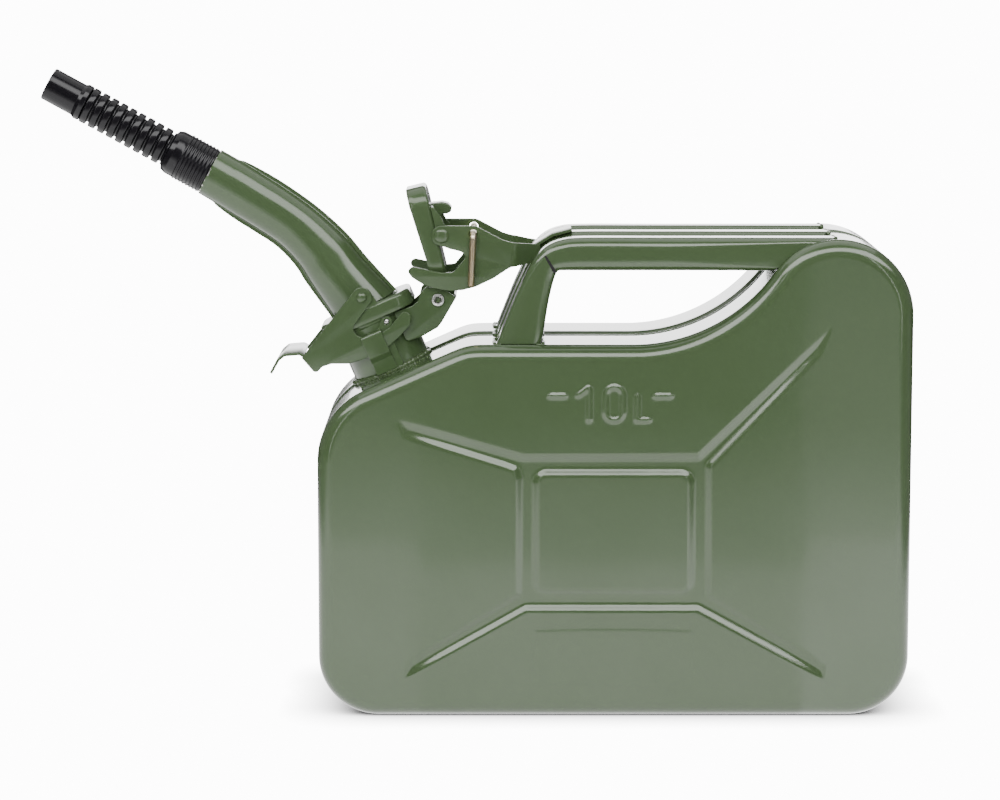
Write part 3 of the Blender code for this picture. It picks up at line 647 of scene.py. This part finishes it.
def can_half(side, marked):
    count = len(column_places())
    base = face_loop - face_normal * EDGE
    bottom, top = base[:count], base[count + ROWS - 1:2 * count + ROWS - 1][::-1]
    share = np.linspace(0, 1, ROWS + 1)[:, None, None]
    flat = bottom + (top - bottom) * share
    depth = pressing(flat[..., 0], flat[..., 1], marked)
    grid = np.stack([flat[..., 0], side * (HALF_THICKNESS - depth), flat[..., 1]], -1)
    rings = []
    edge_depth = pressing(base[:, 0], base[:, 1], False)
    rings.append(np.column_stack([base[:, 0], side * (HALF_THICKNESS - edge_depth), base[:, 1]]))
    for inset, y, crowned in section_steps():
        outline, normal = loop(crowned)
        moved = outline - normal * inset
        rings.append(np.column_stack([moved[:, 0], np.full(len(moved), side * y), moved[:, 1]]))
    return joined(loft(grid, around=False), loft(rings))


for side, label in ((-1, "near"), (1, "far")):
    piece("can_half_" + label, can_half(side, side < 0), CAN, body_enamel, "root", "shell_" + label,
          sharp=60.0)

# %% [markdown]
# ## Carrying handles
#
# Each handle is one pressed tube: a folded post that leans back from its foot, a mitred knee,
# and a soft-cornered rail that ends in a slant on the hump. It is lofted through pairs of
# points, one on the underside and one on the top, because the section narrows up the post.

# %% Three handles
HANDLE_SPACING, HANDLE_HALF_WIDTH, DECK_GAP = 43.0, 12.5, 0.3
RAIL_LOW, RAIL_TOP = 260.4, 279.4
# underside point, top point, radius of the underside corners, radius of the top corners
POST = [(130.0, DECK + DECK_GAP, 104.3, DECK + DECK_GAP, 5.0, 2.2),
        (131.6, 226.0, 107.3, 226.0, 5.0, 2.2), (134.2, 242.0, 114.0, 242.6, 5.2, 2.4),
        (136.6, 252.5, 118.8, 253.4, 5.4, 3.0), (138.2, 257.6, 122.5, 261.2, 5.6, 4.0),
        (139.8, 260.1, 127.0, 268.6, 6.0, 5.0), (143.5, RAIL_LOW, 133.2, 274.6, 6.3, 6.0),
        (150.0, RAIL_LOW, 142.0, 278.2, 6.5, 6.5), (160.0, RAIL_LOW, 155.0, RAIL_TOP, 6.5, 6.5),
        (200.0, RAIL_LOW, 200.0, RAIL_TOP, 6.5, 6.5), (262.0, RAIL_LOW, 299.6, RAIL_TOP, 6.0, 6.0)]


def handle_section(station, middle):
    x0, z0, x1, z1, low_radius, high_radius = station
    length = hypot(x1 - x0, z1 - z0)
    low_radius, high_radius = (min(r, 0.46 * length) for r in (low_radius, high_radius))
    ring = []
    for along, across, radius, start in ((length, 1, high_radius, 0), (0, 1, low_radius, 90),
                                         (0, -1, low_radius, 180), (length, -1, high_radius, 270)):
        centre = along - radius if along else radius
        for k in range(7):
            a = radians(start + 15 * k)
            ring.append((centre + radius * cos(a),
                         across * (HANDLE_HALF_WIDTH - radius) + radius * sin(a)))
    ux, uz = (x1 - x0) / length, (z1 - z0) / length
    return [(x0 + ux * s, middle + t, z0 + uz * s) for s, t in ring]


stations = smooth_path(POST, 7)
for label, place in (("near", -1), ("middle", 0), ("far", 1)):
    rail = loft([handle_section(s, place * HANDLE_SPACING) for s in stations], caps=True)
    piece("carrying_handle_" + label, rail, CAN, handle_enamel, "root", "handle_" + label)

# %% [markdown]
# The post is folded from the same sheet as the rail, and where the fold is mitred a narrow
# three-cornered gap stays open. A recessed dark sliver on each side, in the black rubber finish, is
# painted shade for the dark inside of that gap.

# %% Mitre gaps, painted as shade
MITRE_GAP_SHADE = [(131.4, 269.6), (133.0, 269.2), (139.0, 259.8), (137.2, 259.3)]
for label, place in (("near", -1), ("middle", 0), ("far", 1)):
    y = place * HANDLE_SPACING
    shade_slivers = [blank(MITRE_GAP_SHADE, y + s * HANDLE_HALF_WIDTH - 0.3, y + s * HANDLE_HALF_WIDTH + 0.08, edge=0.1)
               for s in (-1, 1)]
    # Painted shade: dark slivers in the rubber finish where the gap shows the shaded inside of the tube.
    piece("mitre_gap_" + label, joined(*shade_slivers), CAN, rubber_and_gap_shade, "root")

# %% [markdown]
# ## Weld beads
#
# The handles, the neck and the brackets are arc welded. A bead is a tube whose thickness rises
# and falls with the ripples of the weld pool, laid along the sheet and painted over.

# %% Beads round the handle feet, along the hump and round the neck
def bead(route, radius, ripple, seed):
    """A rippled weld bead along a path, the ripples seeded so that each run is its own."""
    random = np.random.default_rng(seed)
    line = smooth_path(route, 8)
    steps = np.linspace(0, 1, len(line))
    swell = 1 + ripple * np.sin(steps * len(line) * 0.9) + ripple * random.uniform(-1, 1, len(line))
    taper = np.minimum(1.0, 0.25 + 12 * np.minimum(steps, 1 - steps))
    line[:, 1:] += radius * 0.18 * random.uniform(-1, 1, (len(line), 2))
    return tube(line.tolist(), (radius * swell * taper).tolist())


feet = []
for i, y in enumerate((-HANDLE_SPACING, 0.0, HANDLE_SPACING)):
    for side in (-1, 1):
        edge = y + side * (HANDLE_HALF_WIDTH + 0.4)
        drop = 1.6 if abs(edge) > 55 else 0.2
        route = [(102.5, edge - 0.5 * side, DECK), (108.0, edge, DECK - drop),
                 (116.0, edge + 0.2 * side, DECK - drop), (124.0, edge, DECK - drop),
                 (131.5, edge - 0.5 * side, DECK - 0.2)]
        feet.append(bead(route, 1.3, 0.1, 10 + 2 * i + side))
    feet.append(bead([(103.0, y - 11, DECK), (102.6, y, DECK), (103.0, y + 11, DECK)], 1.0, 0.1, 30 + i))
    feet.append(bead([(131.0, y - 11, DECK), (131.4, y, DECK), (131.0, y + 11, DECK)], 1.0, 0.1, 40 + i))
piece("foot_welds", joined(*feet), CAN, weld_enamel, "root")

hump = []
for i, y in enumerate((-HANDLE_SPACING, 0.0, HANDLE_SPACING)):
    for side in (-1, 1):
        edge = y + side * (HANDLE_HALF_WIDTH - 1.0)
        climb = [(266.0, edge, 262.2), (282.0, edge, 270.2), (298.0, edge, 278.0)]
        hump.append(bead(climb, 0.7, 0.25, 50 + 2 * i + side))
    crosswise = [(299.5, y - 11, 278.4), (300.5, y, 278.4), (299.5, y + 11, 278.4)]
    hump.append(bead(crosswise, 1.0, 0.3, 60 + i))
piece("hump_welds", joined(*hump), CAN, weld_enamel, "root")

NECK_RADIUS = 23.25
ring = [((NECK_RADIUS + 0.9) * cos(a), (NECK_RADIUS + 0.9) * sin(a), 0.6)
        for a in np.linspace(0, 2 * pi, 40)]
piece("neck_weld", bead(ring, 1.7, 0.1, 70), NECK, weld_enamel, "root")

# %% [markdown]
# ## Filler neck, catches and hinge bracket
#
# The neck is a short drawn tube with a rolled lip. On each side sits a catch, a strap folded
# over a back plate, whose loop guides the lever's finger. The hinge bracket is a U of thicker
# sheet, open towards the cap.

# %% Neck
NECK_HEIGHT = 33.0
neck_section = rounded([(NECK_RADIUS, -8.0), (NECK_RADIUS, 29.6), (24.0, 30.6), (24.0, NECK_HEIGHT),
                        (20.9, NECK_HEIGHT), (20.9, 30.6), (21.3, 29.6), (21.3, -8.0)], 0.9)
piece("neck_tube", turned(neck_section), NECK, part_enamel, "root", "filler_neck")


# %% Catches
def across(side):
    """Turn a blank drawn as (distance from the axis, height) to face one side of the neck."""
    return Matrix.Rotation(side * pi / 2, 4, "Z")


def catch(side):
    back = rounded([(-4.4, 1.6), (8.6, 1.6), (8.6, 22.6), (11.4, 25.2), (12.8, 28.0), (12.2, 30.6),
                    (10.0, 31.4), (7.2, 31.0), (5.2, 28.6), (2.4, 26.4), (-1.0, 26.0), (-4.4, 27.2)], 1.2)
    y = sorted((side * 23.6, side * 25.0))
    plate = blank(back, *y, holes=[circle(9.4, 28.4, 1.7)])
    route = [(24.4, 25.5), (28.6, 25.5), (28.6, 12.6), (26.2, 9.4), (25.6, 1.6)]
    strap = blank(strip_outline(route, 1.4, 1.3), -8.6, 4.4, edge=0.3)
    strap.transform(across(side))
    if side > 0:
        strap.transform(Matrix.Translation((4.2, 0.0, 0.0)))
    return joined(plate, strap)


for side, label in ((-1, "near"), (1, "far")):
    piece("closure_catch_" + label, catch(side), NECK, part_enamel, "root", "catch_" + label)

studs = [tube([(9.4, s * 23.7, 28.4), (9.4, s * 24.9, 28.4), (9.4, s * 25.3, 28.4)], [1.35, 1.25, 0.6])
         for s in (-1, 1)]
piece("catch_studs", joined(*studs), NECK, zinc, "root")

# %% Hinge bracket and pin
HINGE = (42.0, 27.5)
cheek = rounded([(15.0, 12.4), (24.0, 11.6), (35.0, 12.6), (38.5, 14.6), (52.5, 24.5), (48.0, 31.5),
                 (38.6, 37.3), (34.0, 35.5), (31.0, 31.6), (26.5, 30.4), (15.0, 31.4)], 2.2)
bore = circle(*HINGE, 3.0)
web = strip_outline([(23.5, 12.1), (34.8, 13.2), (38.3, 15.1), (52.0, 25.0)], 1.5, 2.0)
bracket = joined(blank(cheek, -20.5, -18.5, [bore], 0.45), blank(cheek, 18.5, 20.5, [bore], 0.45),
                 blank(web, -19.6, 19.6, edge=0.3))
piece("closure_bracket", bracket, NECK, part_enamel, "root", "hinge_bracket")

pin_end = 22.4
roll = rounded([(2.8, 0.0), (2.8, pin_end - 1.3), (3.8, pin_end - 1.3), (3.7, pin_end - 0.2),
                (2.6, pin_end), (1.6, pin_end - 1.2), (1.5, 0.0)], 0.45)
pin = joined(turned(roll, 40), turned([(r, -h) for r, h in roll], 40))
pin.transform(Matrix.Translation((HINGE[0], 0.0, HINGE[1])) @ Matrix.Rotation(pi / 2, 4, "X"))
piece("tubular_hinge_pin", pin, NECK, zinc, "root", "hinge_pin")

# %% [markdown]
# ## Cap
#
# The cap is a rectangular pressing with round corners that hangs from two arms. Its skirt is
# deeper at the free end, where a thumb pushes it home. Inside are a rubber ring and its retainer.

# %% Pressed lids
def lid_ring(centre, half_length, half_width, corner, z, lip=0.0):
    """A rounded rectangle at height z, whose far end drops by lip."""
    ring = []
    for k, (sx, sy) in enumerate(((1, 1), (-1, 1), (-1, -1), (1, -1))):
        for step in range(13):
            a = (k + step / 12) * pi / 2
            x = centre + sx * (half_length - corner) + corner * cos(a)
            end = min(max((centre - x - 12.0) / 5.0, 0.0), 1.0)
            y = sy * (half_width - corner) + corner * sin(a)
            ring.append((x, y, z - lip * end * end * (3 - 2 * end)))
    return ring


def pressed_lid(centre, half_length, bottom, top, mouth=None, lip=0.0, edge=2.2, sheet=1.1):
    """A shallow cup, open downwards: outer skin, rolled rim and inner skin in one loft."""
    rings = []

    def add(shrink, z, share=1.0):
        rings.append(lid_ring(centre, half_length - shrink, 25.0 - shrink, 12.0 - shrink, z, lip * share))

    start = 10.5
    if mouth:
        spokes = lid_ring(centre, half_length, 25.0, 12.0, top)
        hole = [(centre + mouth * cos(a), mouth * sin(a), top) for a in
                (np.arctan2(y, x - centre) for x, y, _ in spokes)]
        rings.append([(x, y, top - sheet) for x, y, _ in hole])
        rings.append([(x, y, top - 0.2) for x, y, _ in hole])
        rings.append([(centre + (x - centre) * 1.02, y * 1.02, top) for x, y, _ in hole])
    else:
        add(start, top, 0)
    for a in np.linspace(pi / 2, 0, 7):
        add(edge - edge * cos(a), top - edge + edge * sin(a), 0)
    add(0.0, bottom + 3.0, 0.5)
    add(0.0, bottom + 0.5)
    add(0.3, bottom)
    add(sheet - 0.3, bottom)
    add(sheet, bottom + 0.5)
    add(sheet, bottom + 3.0, 0.5)
    add(sheet, top - edge, 0)
    add(edge, top - sheet, 0)
    if not mouth:
        add(start, top - sheet, 0)
    return loft(rings, caps=not mouth, along=bool(mouth))


cap_centre = -39.0
piece("cap_pressing", pressed_lid(cap_centre, 28.0, -0.9, 8.7, lip=2.2), CAP, part_enamel,
      "cap", "cap_cover", sharp=50.0)


def washer(outer, inner, low, high, centre=0.0, soft=0.4):
    section = rounded([(outer, low), (outer, high), (inner, high), (inner, low)], soft)
    mesh = turned(section)
    mesh.transform(Matrix.Translation((centre, 0.0, 0.0)))
    return mesh


piece("cap_seal", washer(22.8, 19.5, 5.2, 7.1, cap_centre, 0.6), CAP, rubber_and_gap_shade, "cap", "cap_gasket")
piece("cap_seal_retainer", washer(19.2, 0.6, 5.6, 7.1, cap_centre), CAP, zinc,
      "cap", "cap_gasket_retainer")
piece("spout_seal", washer(22.8, 19.8, 33.3, 39.6, 0.0, 0.6), NECK, rubber_and_gap_shade, "root", "spout_gasket")

# %% Lugs, stop and arms of the cap
CAP_PIVOT = (-36.7, 11.3)
lug = rounded([(-54.0, 9.0), (-31.0, 9.0), (-31.0, 12.0), (-31.6, 14.6), (-35.0, 16.6), (-38.6, 16.3),
               (-42.0, 14.6), (-47.0, 13.6), (-54.0, 10.8)], 2.0)
saddle = rounded([(-54.0, 8.8), (-31.0, 8.8), (-31.0, 10.4), (-54.0, 10.4)], 0.5)
bracket = joined(blank(saddle, -24.6, 24.6, edge=0.3), blank(lug, -25.0, -23.4), blank(lug, 23.4, 25.0))
piece("cap_lug_bracket", bracket, CAP, part_enamel, "cap", "cap_pivot_bracket")

stop = rounded([(-55.2, 8.8), (-45.8, 8.8), (-45.2, 12.0), (-47.8, 14.2), (-47.0, 16.6), (-47.6, 19.6),
                (-50.0, 20.4), (-52.8, 18.8), (-54.4, 15.6)], 1.6)
piece("cap_stop", blank(stop, -8.0, 8.0, edge=0.8), CAP, part_enamel, "cap", "cap_thumb_stop")

arm = rounded([(-10.7, 0.2), (-3.6, -3.4), (0.6, -4.6), (4.2, -2.4), (4.4, 2.0), (0.8, 4.6), (-4.8, 7.6),
               (-10.7, 7.6)], 2.4)
arms = {"near": (-18.2, -15.6), "far": (15.6, 18.2)}
for label, (low, high) in arms.items():
    piece("cap_arm_" + label, blank(arm, low, high, edge=0.5), CAP, part_enamel,
          "cap", "cap_hinge_arm_" + label)


# %% Domed rivets
PLATE_IN, PLATE_OUT = 25.6, 27.4


def rivet(side, x, z, head=4.1, inner=23.2):
    """A round-headed rivet whose head bears on a lever cheek."""
    face = PLATE_OUT + 0.15
    dome = [(head * cos(a), face + 0.35 + 1.8 * sin(a)) for a in np.linspace(0, pi / 2 - 0.02, 10)]
    section = [(0.02, inner), (2.35, inner), (2.35, face), (head - 0.1, face)] + dome
    mesh = turned(section, 40)
    mesh.transform(Matrix.Translation((x, 0.0, z)) @ Matrix.Rotation(-side * pi / 2, 4, "X"))
    return mesh


for side, label in ((-1, "near"), (1, "far")):
    piece("cap_rivet_" + label, rivet(side, *CAP_PIVOT, 4.3), CAP, part_enamel, "cap",
          "cap_lever_rivet_" + label)
    piece("spout_rivet_" + label, rivet(side, 2.1, 47.5, 3.1), NECK, part_enamel, "root",
          "spout_lever_rivet_" + label)

# %% [markdown]
# ## The two cam levers
#
# A lever is two cheeks stamped from sheet with a bridge between them. Each cheek has a round
# eye for its rivet and a curved finger that rides under the catch. The cap's lever closes to a
# tail that rests over the handle; the spout's lever ends in a bent thumb tab.

# %% Cap lever
eye = [(5.9 * cos(a), 5.9 * sin(a)) for a in np.linspace(radians(-99), radians(-270), 22)]
cheek = rounded([(1.0, 5.9), (20.2, 5.8), (35.8, -2.4), (41.2, -4.0)], 7.0, closed=False)
cheek += rounded([(41.2, -18.2), (38.3, -19.8), (30.5, -25.0), (20.2, -29.9), (12.3, -32.0), (4.5, -32.4),
                  (-4.5, -30.9), (-11.5, -28.2), (-17.2, -24.6), (-20.2, -20.8), (-17.4, -18.0),
                  (-12.5, -19.0), (-6.5, -20.4), (0.4, -21.7), (7.0, -21.3), (10.2, -17.6), (14.4, -12.2),
                  (11.6, -9.4), (5.0, -7.8), (1.2, -6.4)], 2.6, closed=False)
cheek += [(x, z) for x, z in eye]
pin_bore = circle(18.5, 1.0, 2.7, 24)
cheeks = [blank(cheek, -PLATE_OUT, -PLATE_IN, [pin_bore], 0.4),
          blank(cheek, PLATE_IN, PLATE_OUT, [pin_bore], 0.4)]
for side in (-1, 1):
    bend = smooth_path([(40.6, PLATE_IN, -18.5, -3.9), (44.0, 24.6, -18.0, -4.3),
                        (50.5, 18.8, -16.6, -5.2), (57.8, 13.4, -12.0, -5.9)], 6)
    rings = []
    for x, y, low, high in bend:
        skin = rounded([(y, low), (y + 1.8, low), (y + 1.8, high), (y, high)], 0.4, steps=3)
        rings.append([(x, side * t, z) for t, z in skin])
    cheeks.append(loft(rings, caps=True))
tab = strip_outline([(54.0, -7.4), (57.5, -5.4), (65.0, -0.8), (76.4, 2.2)], 1.8, 5.0)
piece("closing_lever", joined(*cheeks, blank(tab, -14.8, 14.8, edge=0.4)), CAP_LEVER, part_enamel,
      "cap_lever", "cap_lever")

# %% Locking pin
corner, leg_y = 3.0, -32.2
route = [(0.0, 32.5, 0.0), (0.0, leg_y + corner, 0.0)]
route += [(0.0, leg_y + corner - corner * sin(a), -corner + corner * cos(a))
          for a in np.linspace(0.1, pi / 2, 10)]
route += [(-0.6, leg_y, -16.0), (-1.2, leg_y, -30.0), (-1.22, leg_y, -30.5)]
thick = [2.05] * (len(route) - 1) + [1.6]
piece("brass_coloured_pin", tube(route, thick), PIN, straw, "locking_pin", "locking_pin")

# %% [markdown]
# ## Spout
#
# The spout is two pressed halves that meet in a narrow seam flange along the top and the
# bottom. Each half is lofted through sections square to the bend, so the highlights run
# along it in clean bands. Its collar is a lid with a hole, clamped down on the neck.

# %% Spout collar
COLLAR_LOW, COLLAR_TOP = 32.0, 41.0
lug = rounded([(-5.0, 39.6), (9.0, 39.6), (8.6, 44.0), (7.6, 50.0), (4.6, 52.8), (-0.4, 52.8),
               (-3.2, 49.6), (-3.9, 44.0)], 2.6)
collar = joined(pressed_lid(0.0, 28.5, COLLAR_LOW, COLLAR_TOP, mouth=17.4),
                blank(lug, -24.9, -23.3, edge=0.4), blank(lug, 23.3, 24.9, edge=0.4))
piece("spout_collar", collar, NECK, part_enamel, "root", "spout_base", sharp=50.0)

# %% Spout halves
SPOUT_END_RADIUS = 14.25
start = Vector((-65.2, 314.3))
across_end = Vector((sin(NOZZLE_RISE), cos(NOZZLE_RISE))) * SPOUT_END_RADIUS
foot_height = 41.3
foot = [(42.5 + u * cos(SHOULDER) - foot_height * sin(SHOULDER),
         198.0 + u * sin(SHOULDER) + foot_height * cos(SHOULDER)) for u in (-19.4, 19.2)]
# bottom point, top point and how far the seam flange stands out
SPOUT = [(*(start - across_end), *(start + across_end), 0.15), (-63.9, 296.9, -48.6, 321.3, 0.15),
         (-60.5, 294.9, -44.4, 318.9, 1.2), (-50.0, 288.3, -33.0, 311.8, 2.2),
         (-37.5, 280.6, -19.5, 303.2, 2.4), (-24.2, 271.6, -3.2, 291.4, 2.4),
         (-13.4, 260.2, 13.0, 276.8, 2.4), (-6.0, 248.6, 25.0, 262.6, 2.4),
         (*foot[0], *foot[1], 1.6)]


def spout_section(station, side):
    x0, z0, x1, z1, lip = station
    length = hypot(x1 - x0, z1 - z0)
    ux, uz, r = (x1 - x0) / length, (z1 - z0) / length, length / 2
    seam, sheet = 0.12, 1.15
    reach = r + max(lip, 0.15)
    half = [(reach, seam), (reach + 0.1, seam + sheet / 2), (reach, seam + sheet)]
    half += [(r + min(0.5, max(lip, 0.15)), seam + sheet), (r + 0.12, seam + sheet + 0.3)]
    body = [(r * cos(a), seam + sheet + (r - seam - sheet) * sin(a))
            for a in np.linspace(0.09, pi - 0.09, 33)]
    ring = half + body + [(-s, y) for s, y in half[::-1]]
    ring += [(-(r - sheet) * cos(a), (r - sheet) * sin(a) + seam)
             for a in np.linspace(0.02, pi - 0.02, 16)]
    return [(x0 + ux * (s + r), side * y, z0 + uz * (s + r)) for s, y in ring]


line = smooth_path(SPOUT, 9)
for side, label in ((-1, "near"), (1, "far")):
    half = loft([spout_section(s, side) for s in line], caps=True)
    piece("spout_shell_" + label, half, CAN, spout_enamel, "root", "spout_half_" + label)

ring = [(17.0 * cos(a), 17.0 * sin(a), COLLAR_TOP + 0.4) for a in np.linspace(0, 2 * pi, 34)]
piece("spout_weld", bead(ring, 1.2, 0.1, 80), NECK, weld_enamel, "root")

# %% Spout lever
pivot_x, pivot_z = 2.1, 47.5
blank_line = rounded([(-44.9, 29.4), (-41.3, 17.3), (-35.8, 19.6), (-30.3, 19.0), (-21.2, 15.0),
                      (-15.1, 14.2), (-4.6, 13.6), (4.0, 14.6), (13.2, 17.6), (21.5, 21.4),
                      (24.2, 26.4), (21.6, 30.6), (16.4, 28.2), (9.3, 24.6), (2.0, 23.5),
                      (-5.2, 24.2), (-9.6, 28.0), (-10.6, 32.0), (-8.5, 34.5)], 2.4, closed=False)
blank_line += [(pivot_x + 5.9 * cos(a), pivot_z + 5.9 * sin(a))
               for a in np.linspace(radians(-48), radians(115), 20)]
tab = strip_outline([(-43.4, 29.6), (-45.0, 32.0), (-53.6, 35.0), (-57.8, 33.9), (-65.2, 28.4)], 1.6, 3.0)
lever = joined(blank(blank_line, -PLATE_OUT, -PLATE_IN, edge=0.4),
               blank(blank_line, PLATE_IN, PLATE_OUT, edge=0.4), blank(tab, -26.8, 26.8, edge=0.4))
piece("spout_closing_lever", lever, NECK, part_enamel, "spout_lever", "spout_lever")

# %% [markdown]
# ## Flexible nozzle
#
# One soft plastic moulding: a sleeve with fine grip rings, a bellows that lets the tip bend,
# and a plain tip. The three parts are turned; the bellows sits between the sleeve and the tip, attached
# to neither.

# %% Nozzle
SLEEVE, RING_PITCH, BORE = 28.38, 6.0, 7.6
sleeve = [(12.4, -11.0), (12.4, 0.4), (13.9, 0.4)]
for k in range(8):
    z = 1.4 + 2.25 * k
    sleeve += [(13.75, z), (14.2, z + 0.35), (14.2, z + 1.15), (13.75, z + 1.5)]
sleeve += [(13.7, 20.2), (13.7, 23.8), (12.6, 26.6), (10.6, 27.6), (10.2, SLEEVE), (BORE, SLEEVE),
           (BORE, 2.0), (11.2, -2.0), (11.2, -11.0)]
piece("nozzle_sleeve", turned(rounded(sleeve, 0.35, steps=2)), NOZZLE, plastic, "root", "nozzle_collar")

ribs = []
for k in range(9):
    z = BELLOWS_START + k * RING_PITCH
    ribs += [(8.9, z), (8.9, z + 1.5), (11.1, z + 1.8), (11.1, z + RING_PITCH - 0.3)]
ribs += [(8.9, BELLOWS_END - 0.02), (BORE, BELLOWS_END), (BORE, BELLOWS_START)]
bend_start, bend_end = (NOZZLE @ Vector((0, 0, z)) for z in (BELLOWS_START, BELLOWS_END))
piece("nozzle_flex_ribs", turned(rounded(ribs, 0.75, steps=4)), NOZZLE, plastic,
      ("root", "nozzle_tip", bend_start, bend_end), "nozzle_bellows")

first, last = BELLOWS_END + 0.05, BELLOWS_END + 25.4
tip = rounded([(9.2, first), (10.9, first + 0.5), (11.1, first + 3.4), (10.0, first + 5.4), (10.0, last),
               (8.4, last), (BORE, last - 1.2), (BORE, first)], 0.7)
piece("nozzle_end", turned(tip), NOZZLE, plastic, "nozzle_tip", "nozzle_tip")

# %% Air pipe
pipe = next(o for o in bpy.data.objects if o.name.startswith("breather_pipe"))
for holder in pipe.material_slots:
    holder.material = zinc
print("air pipe plated", len(pipe.material_slots))

# %% [markdown]
# ## Studio
#
# A white sweep and soft light, as a catalogue shot has. Gloss paint is only as good as what it
# mirrors, so the room is shaped for it: bright low down behind, which turns the deck white, and
# dim beside and in front. An arch of light high in front is seen in reflections only. It draws
# a line along every slope that faces up. In reflections the sweep is bright near the can and
# fades away from it, with a card on each side, so the flat face grows paler towards its foot.

# %% Lamps
def glow(name, place, target, width, height, power, mirrored=True, lit=True):
    """A soft light. A fill light isn't mirrored; a highlight lamp is mirrored and lights nothing."""
    lamp = bpy.data.lights.new(name, "AREA")
    lamp.shape, lamp.size, lamp.size_y, lamp.energy = "RECTANGLE", width, height, power
    obj = bpy.data.objects.new(name, lamp)
    bpy.context.scene.collection.objects.link(obj)
    obj.location = place
    obj.rotation_euler = (Vector(target) - Vector(place)).to_track_quat("-Z", "Y").to_euler()
    obj.visible_glossy, obj.visible_diffuse = mirrored, lit
    return obj


glow("overhead", (0.1, 0.32, 1.25), (0.1, 0.2, 0.0), 1.8, 1.0, 7.0)
glow("right_line", (0.95, -1.6, 0.5), (0.2, 0.0, 0.15), 0.07, 1.2, 2.0, lit=False)
glow("left_line", (-0.95, -1.6, 0.5), (-0.05, 0.0, 0.15), 0.07, 1.2, 2.0, lit=False)
glow("fill", (-0.3, -2.6, 1.3), (0.05, 0.0, 0.12), 2.4, 1.6, 44.0, mirrored=False)
print("lamps", len(bpy.data.lights))

# %% Room and sweep
BEHIND, BESIDE, IN_FRONT = 5.0, 0.25, 0.12
ARCH = 7.5                        # brightness of the arch, in reflections only
SHOWN = 13.0                      # brightness of the sweep and room, as seen directly
CONTACT_SHADOW = 0.035            # reach of the dark line under the can

world = bpy.data.worlds.new("studio")
bpy.context.scene.world = world
world.use_nodes = True
room = Finish.__new__(Finish)
room.tree = world.node_tree
backdrop = world.node_tree.nodes["Background"]
toward = room.node("TexCoord", output="Generated")
direction = room.node("SeparateXYZ", None, {0: toward}, "Y")
height = room.node("SeparateXYZ", None, {0: toward}, "Z")
front = (direction * -1.0).between(-0.1, 0.55)
back = direction.between(0.93, 0.995)
level = BESIDE + (BEHIND - BESIDE) * back - (BESIDE - IN_FRONT) * front
seen = room.node("LightPath", output="Is Camera Ray")
glossy = room.node("LightPath", output="Is Glossy Ray")
arch = height.between(0.48, 0.55) - height.between(0.80, 0.88)
arch = arch * (1.0 - direction.between(-0.35, -0.15)) * glossy
level = level + ARCH * arch
room.wire(backdrop.inputs["Color"], paint(1, 1, 1))
room.wire(backdrop.inputs["Strength"], level + seen * (SHOWN - level))

floor_mesh = bpy.data.meshes.new("sweep")
floor_mesh.from_pydata([(-40, -40, 0), (40, -40, 0), (40, 40, 0), (-40, 40, 0)], [], [(0, 1, 2, 3)])
sweep = bpy.data.objects.new("sweep", floor_mesh)
bpy.context.scene.collection.objects.link(sweep)
card = Finish("sweep_card", "none", Base_Color=paint(0.92, 0.92, 0.92), Roughness=0.9)
place = {axis: card.node("SeparateXYZ", None, {0: card.place}, axis) for axis in "XY"}
fan = (place["X"] - 0.016) / (1.86 - place["Y"])
left, right = 1.0 - fan.between(-0.026, -0.023), fan.between(0.090, 0.093)
slope = (place["Y"] + 0.1 * left).between(-1.36, -0.66)
step = (place["Y"] + 0.1 * (left + right)).between(-0.60, -0.50)
strength = 0.12 + 0.2 * left + 0.75 * right + 1.15 * slope + 1.1 * step
away = place["X"].between(0.55, 0.85) + (place["X"] * -1.0).between(0.55, 0.85)
strength = strength * (1.0 - 0.9 * away) * (1.0 - 0.9 * place["Y"].between(0.30, 0.60))
mirrored = card.node("Emission", None, {"Color": paint(1, 1, 1), "Strength": strength})
shown = card.node("MixShader", None, {0: card.node("LightPath", output="Is Glossy Ray")})
mixer = shown.socket.node
card.tree.links.new(card.shader.outputs["BSDF"], mixer.inputs[1])
card.tree.links.new(mirrored.socket, mixer.inputs[2])
contact = card.node("AmbientOcclusion", None, {"Distance": CONTACT_SHADOW}, "AO")
white = card.node("Emission", None, {"Color": paint(1, 1, 1), "Strength": SHOWN * contact * contact})
looked_at = card.node("MixShader", None, {0: card.node("LightPath", output="Is Camera Ray")})
card.tree.links.new(mixer.outputs[0], looked_at.socket.node.inputs[1])
card.tree.links.new(white.socket, looked_at.socket.node.inputs[2])
card.tree.links.new(looked_at.socket, card.tree.nodes["Material Output"].inputs["Surface"])
sweep.data.materials.append(card.material)
print("sweep laid")
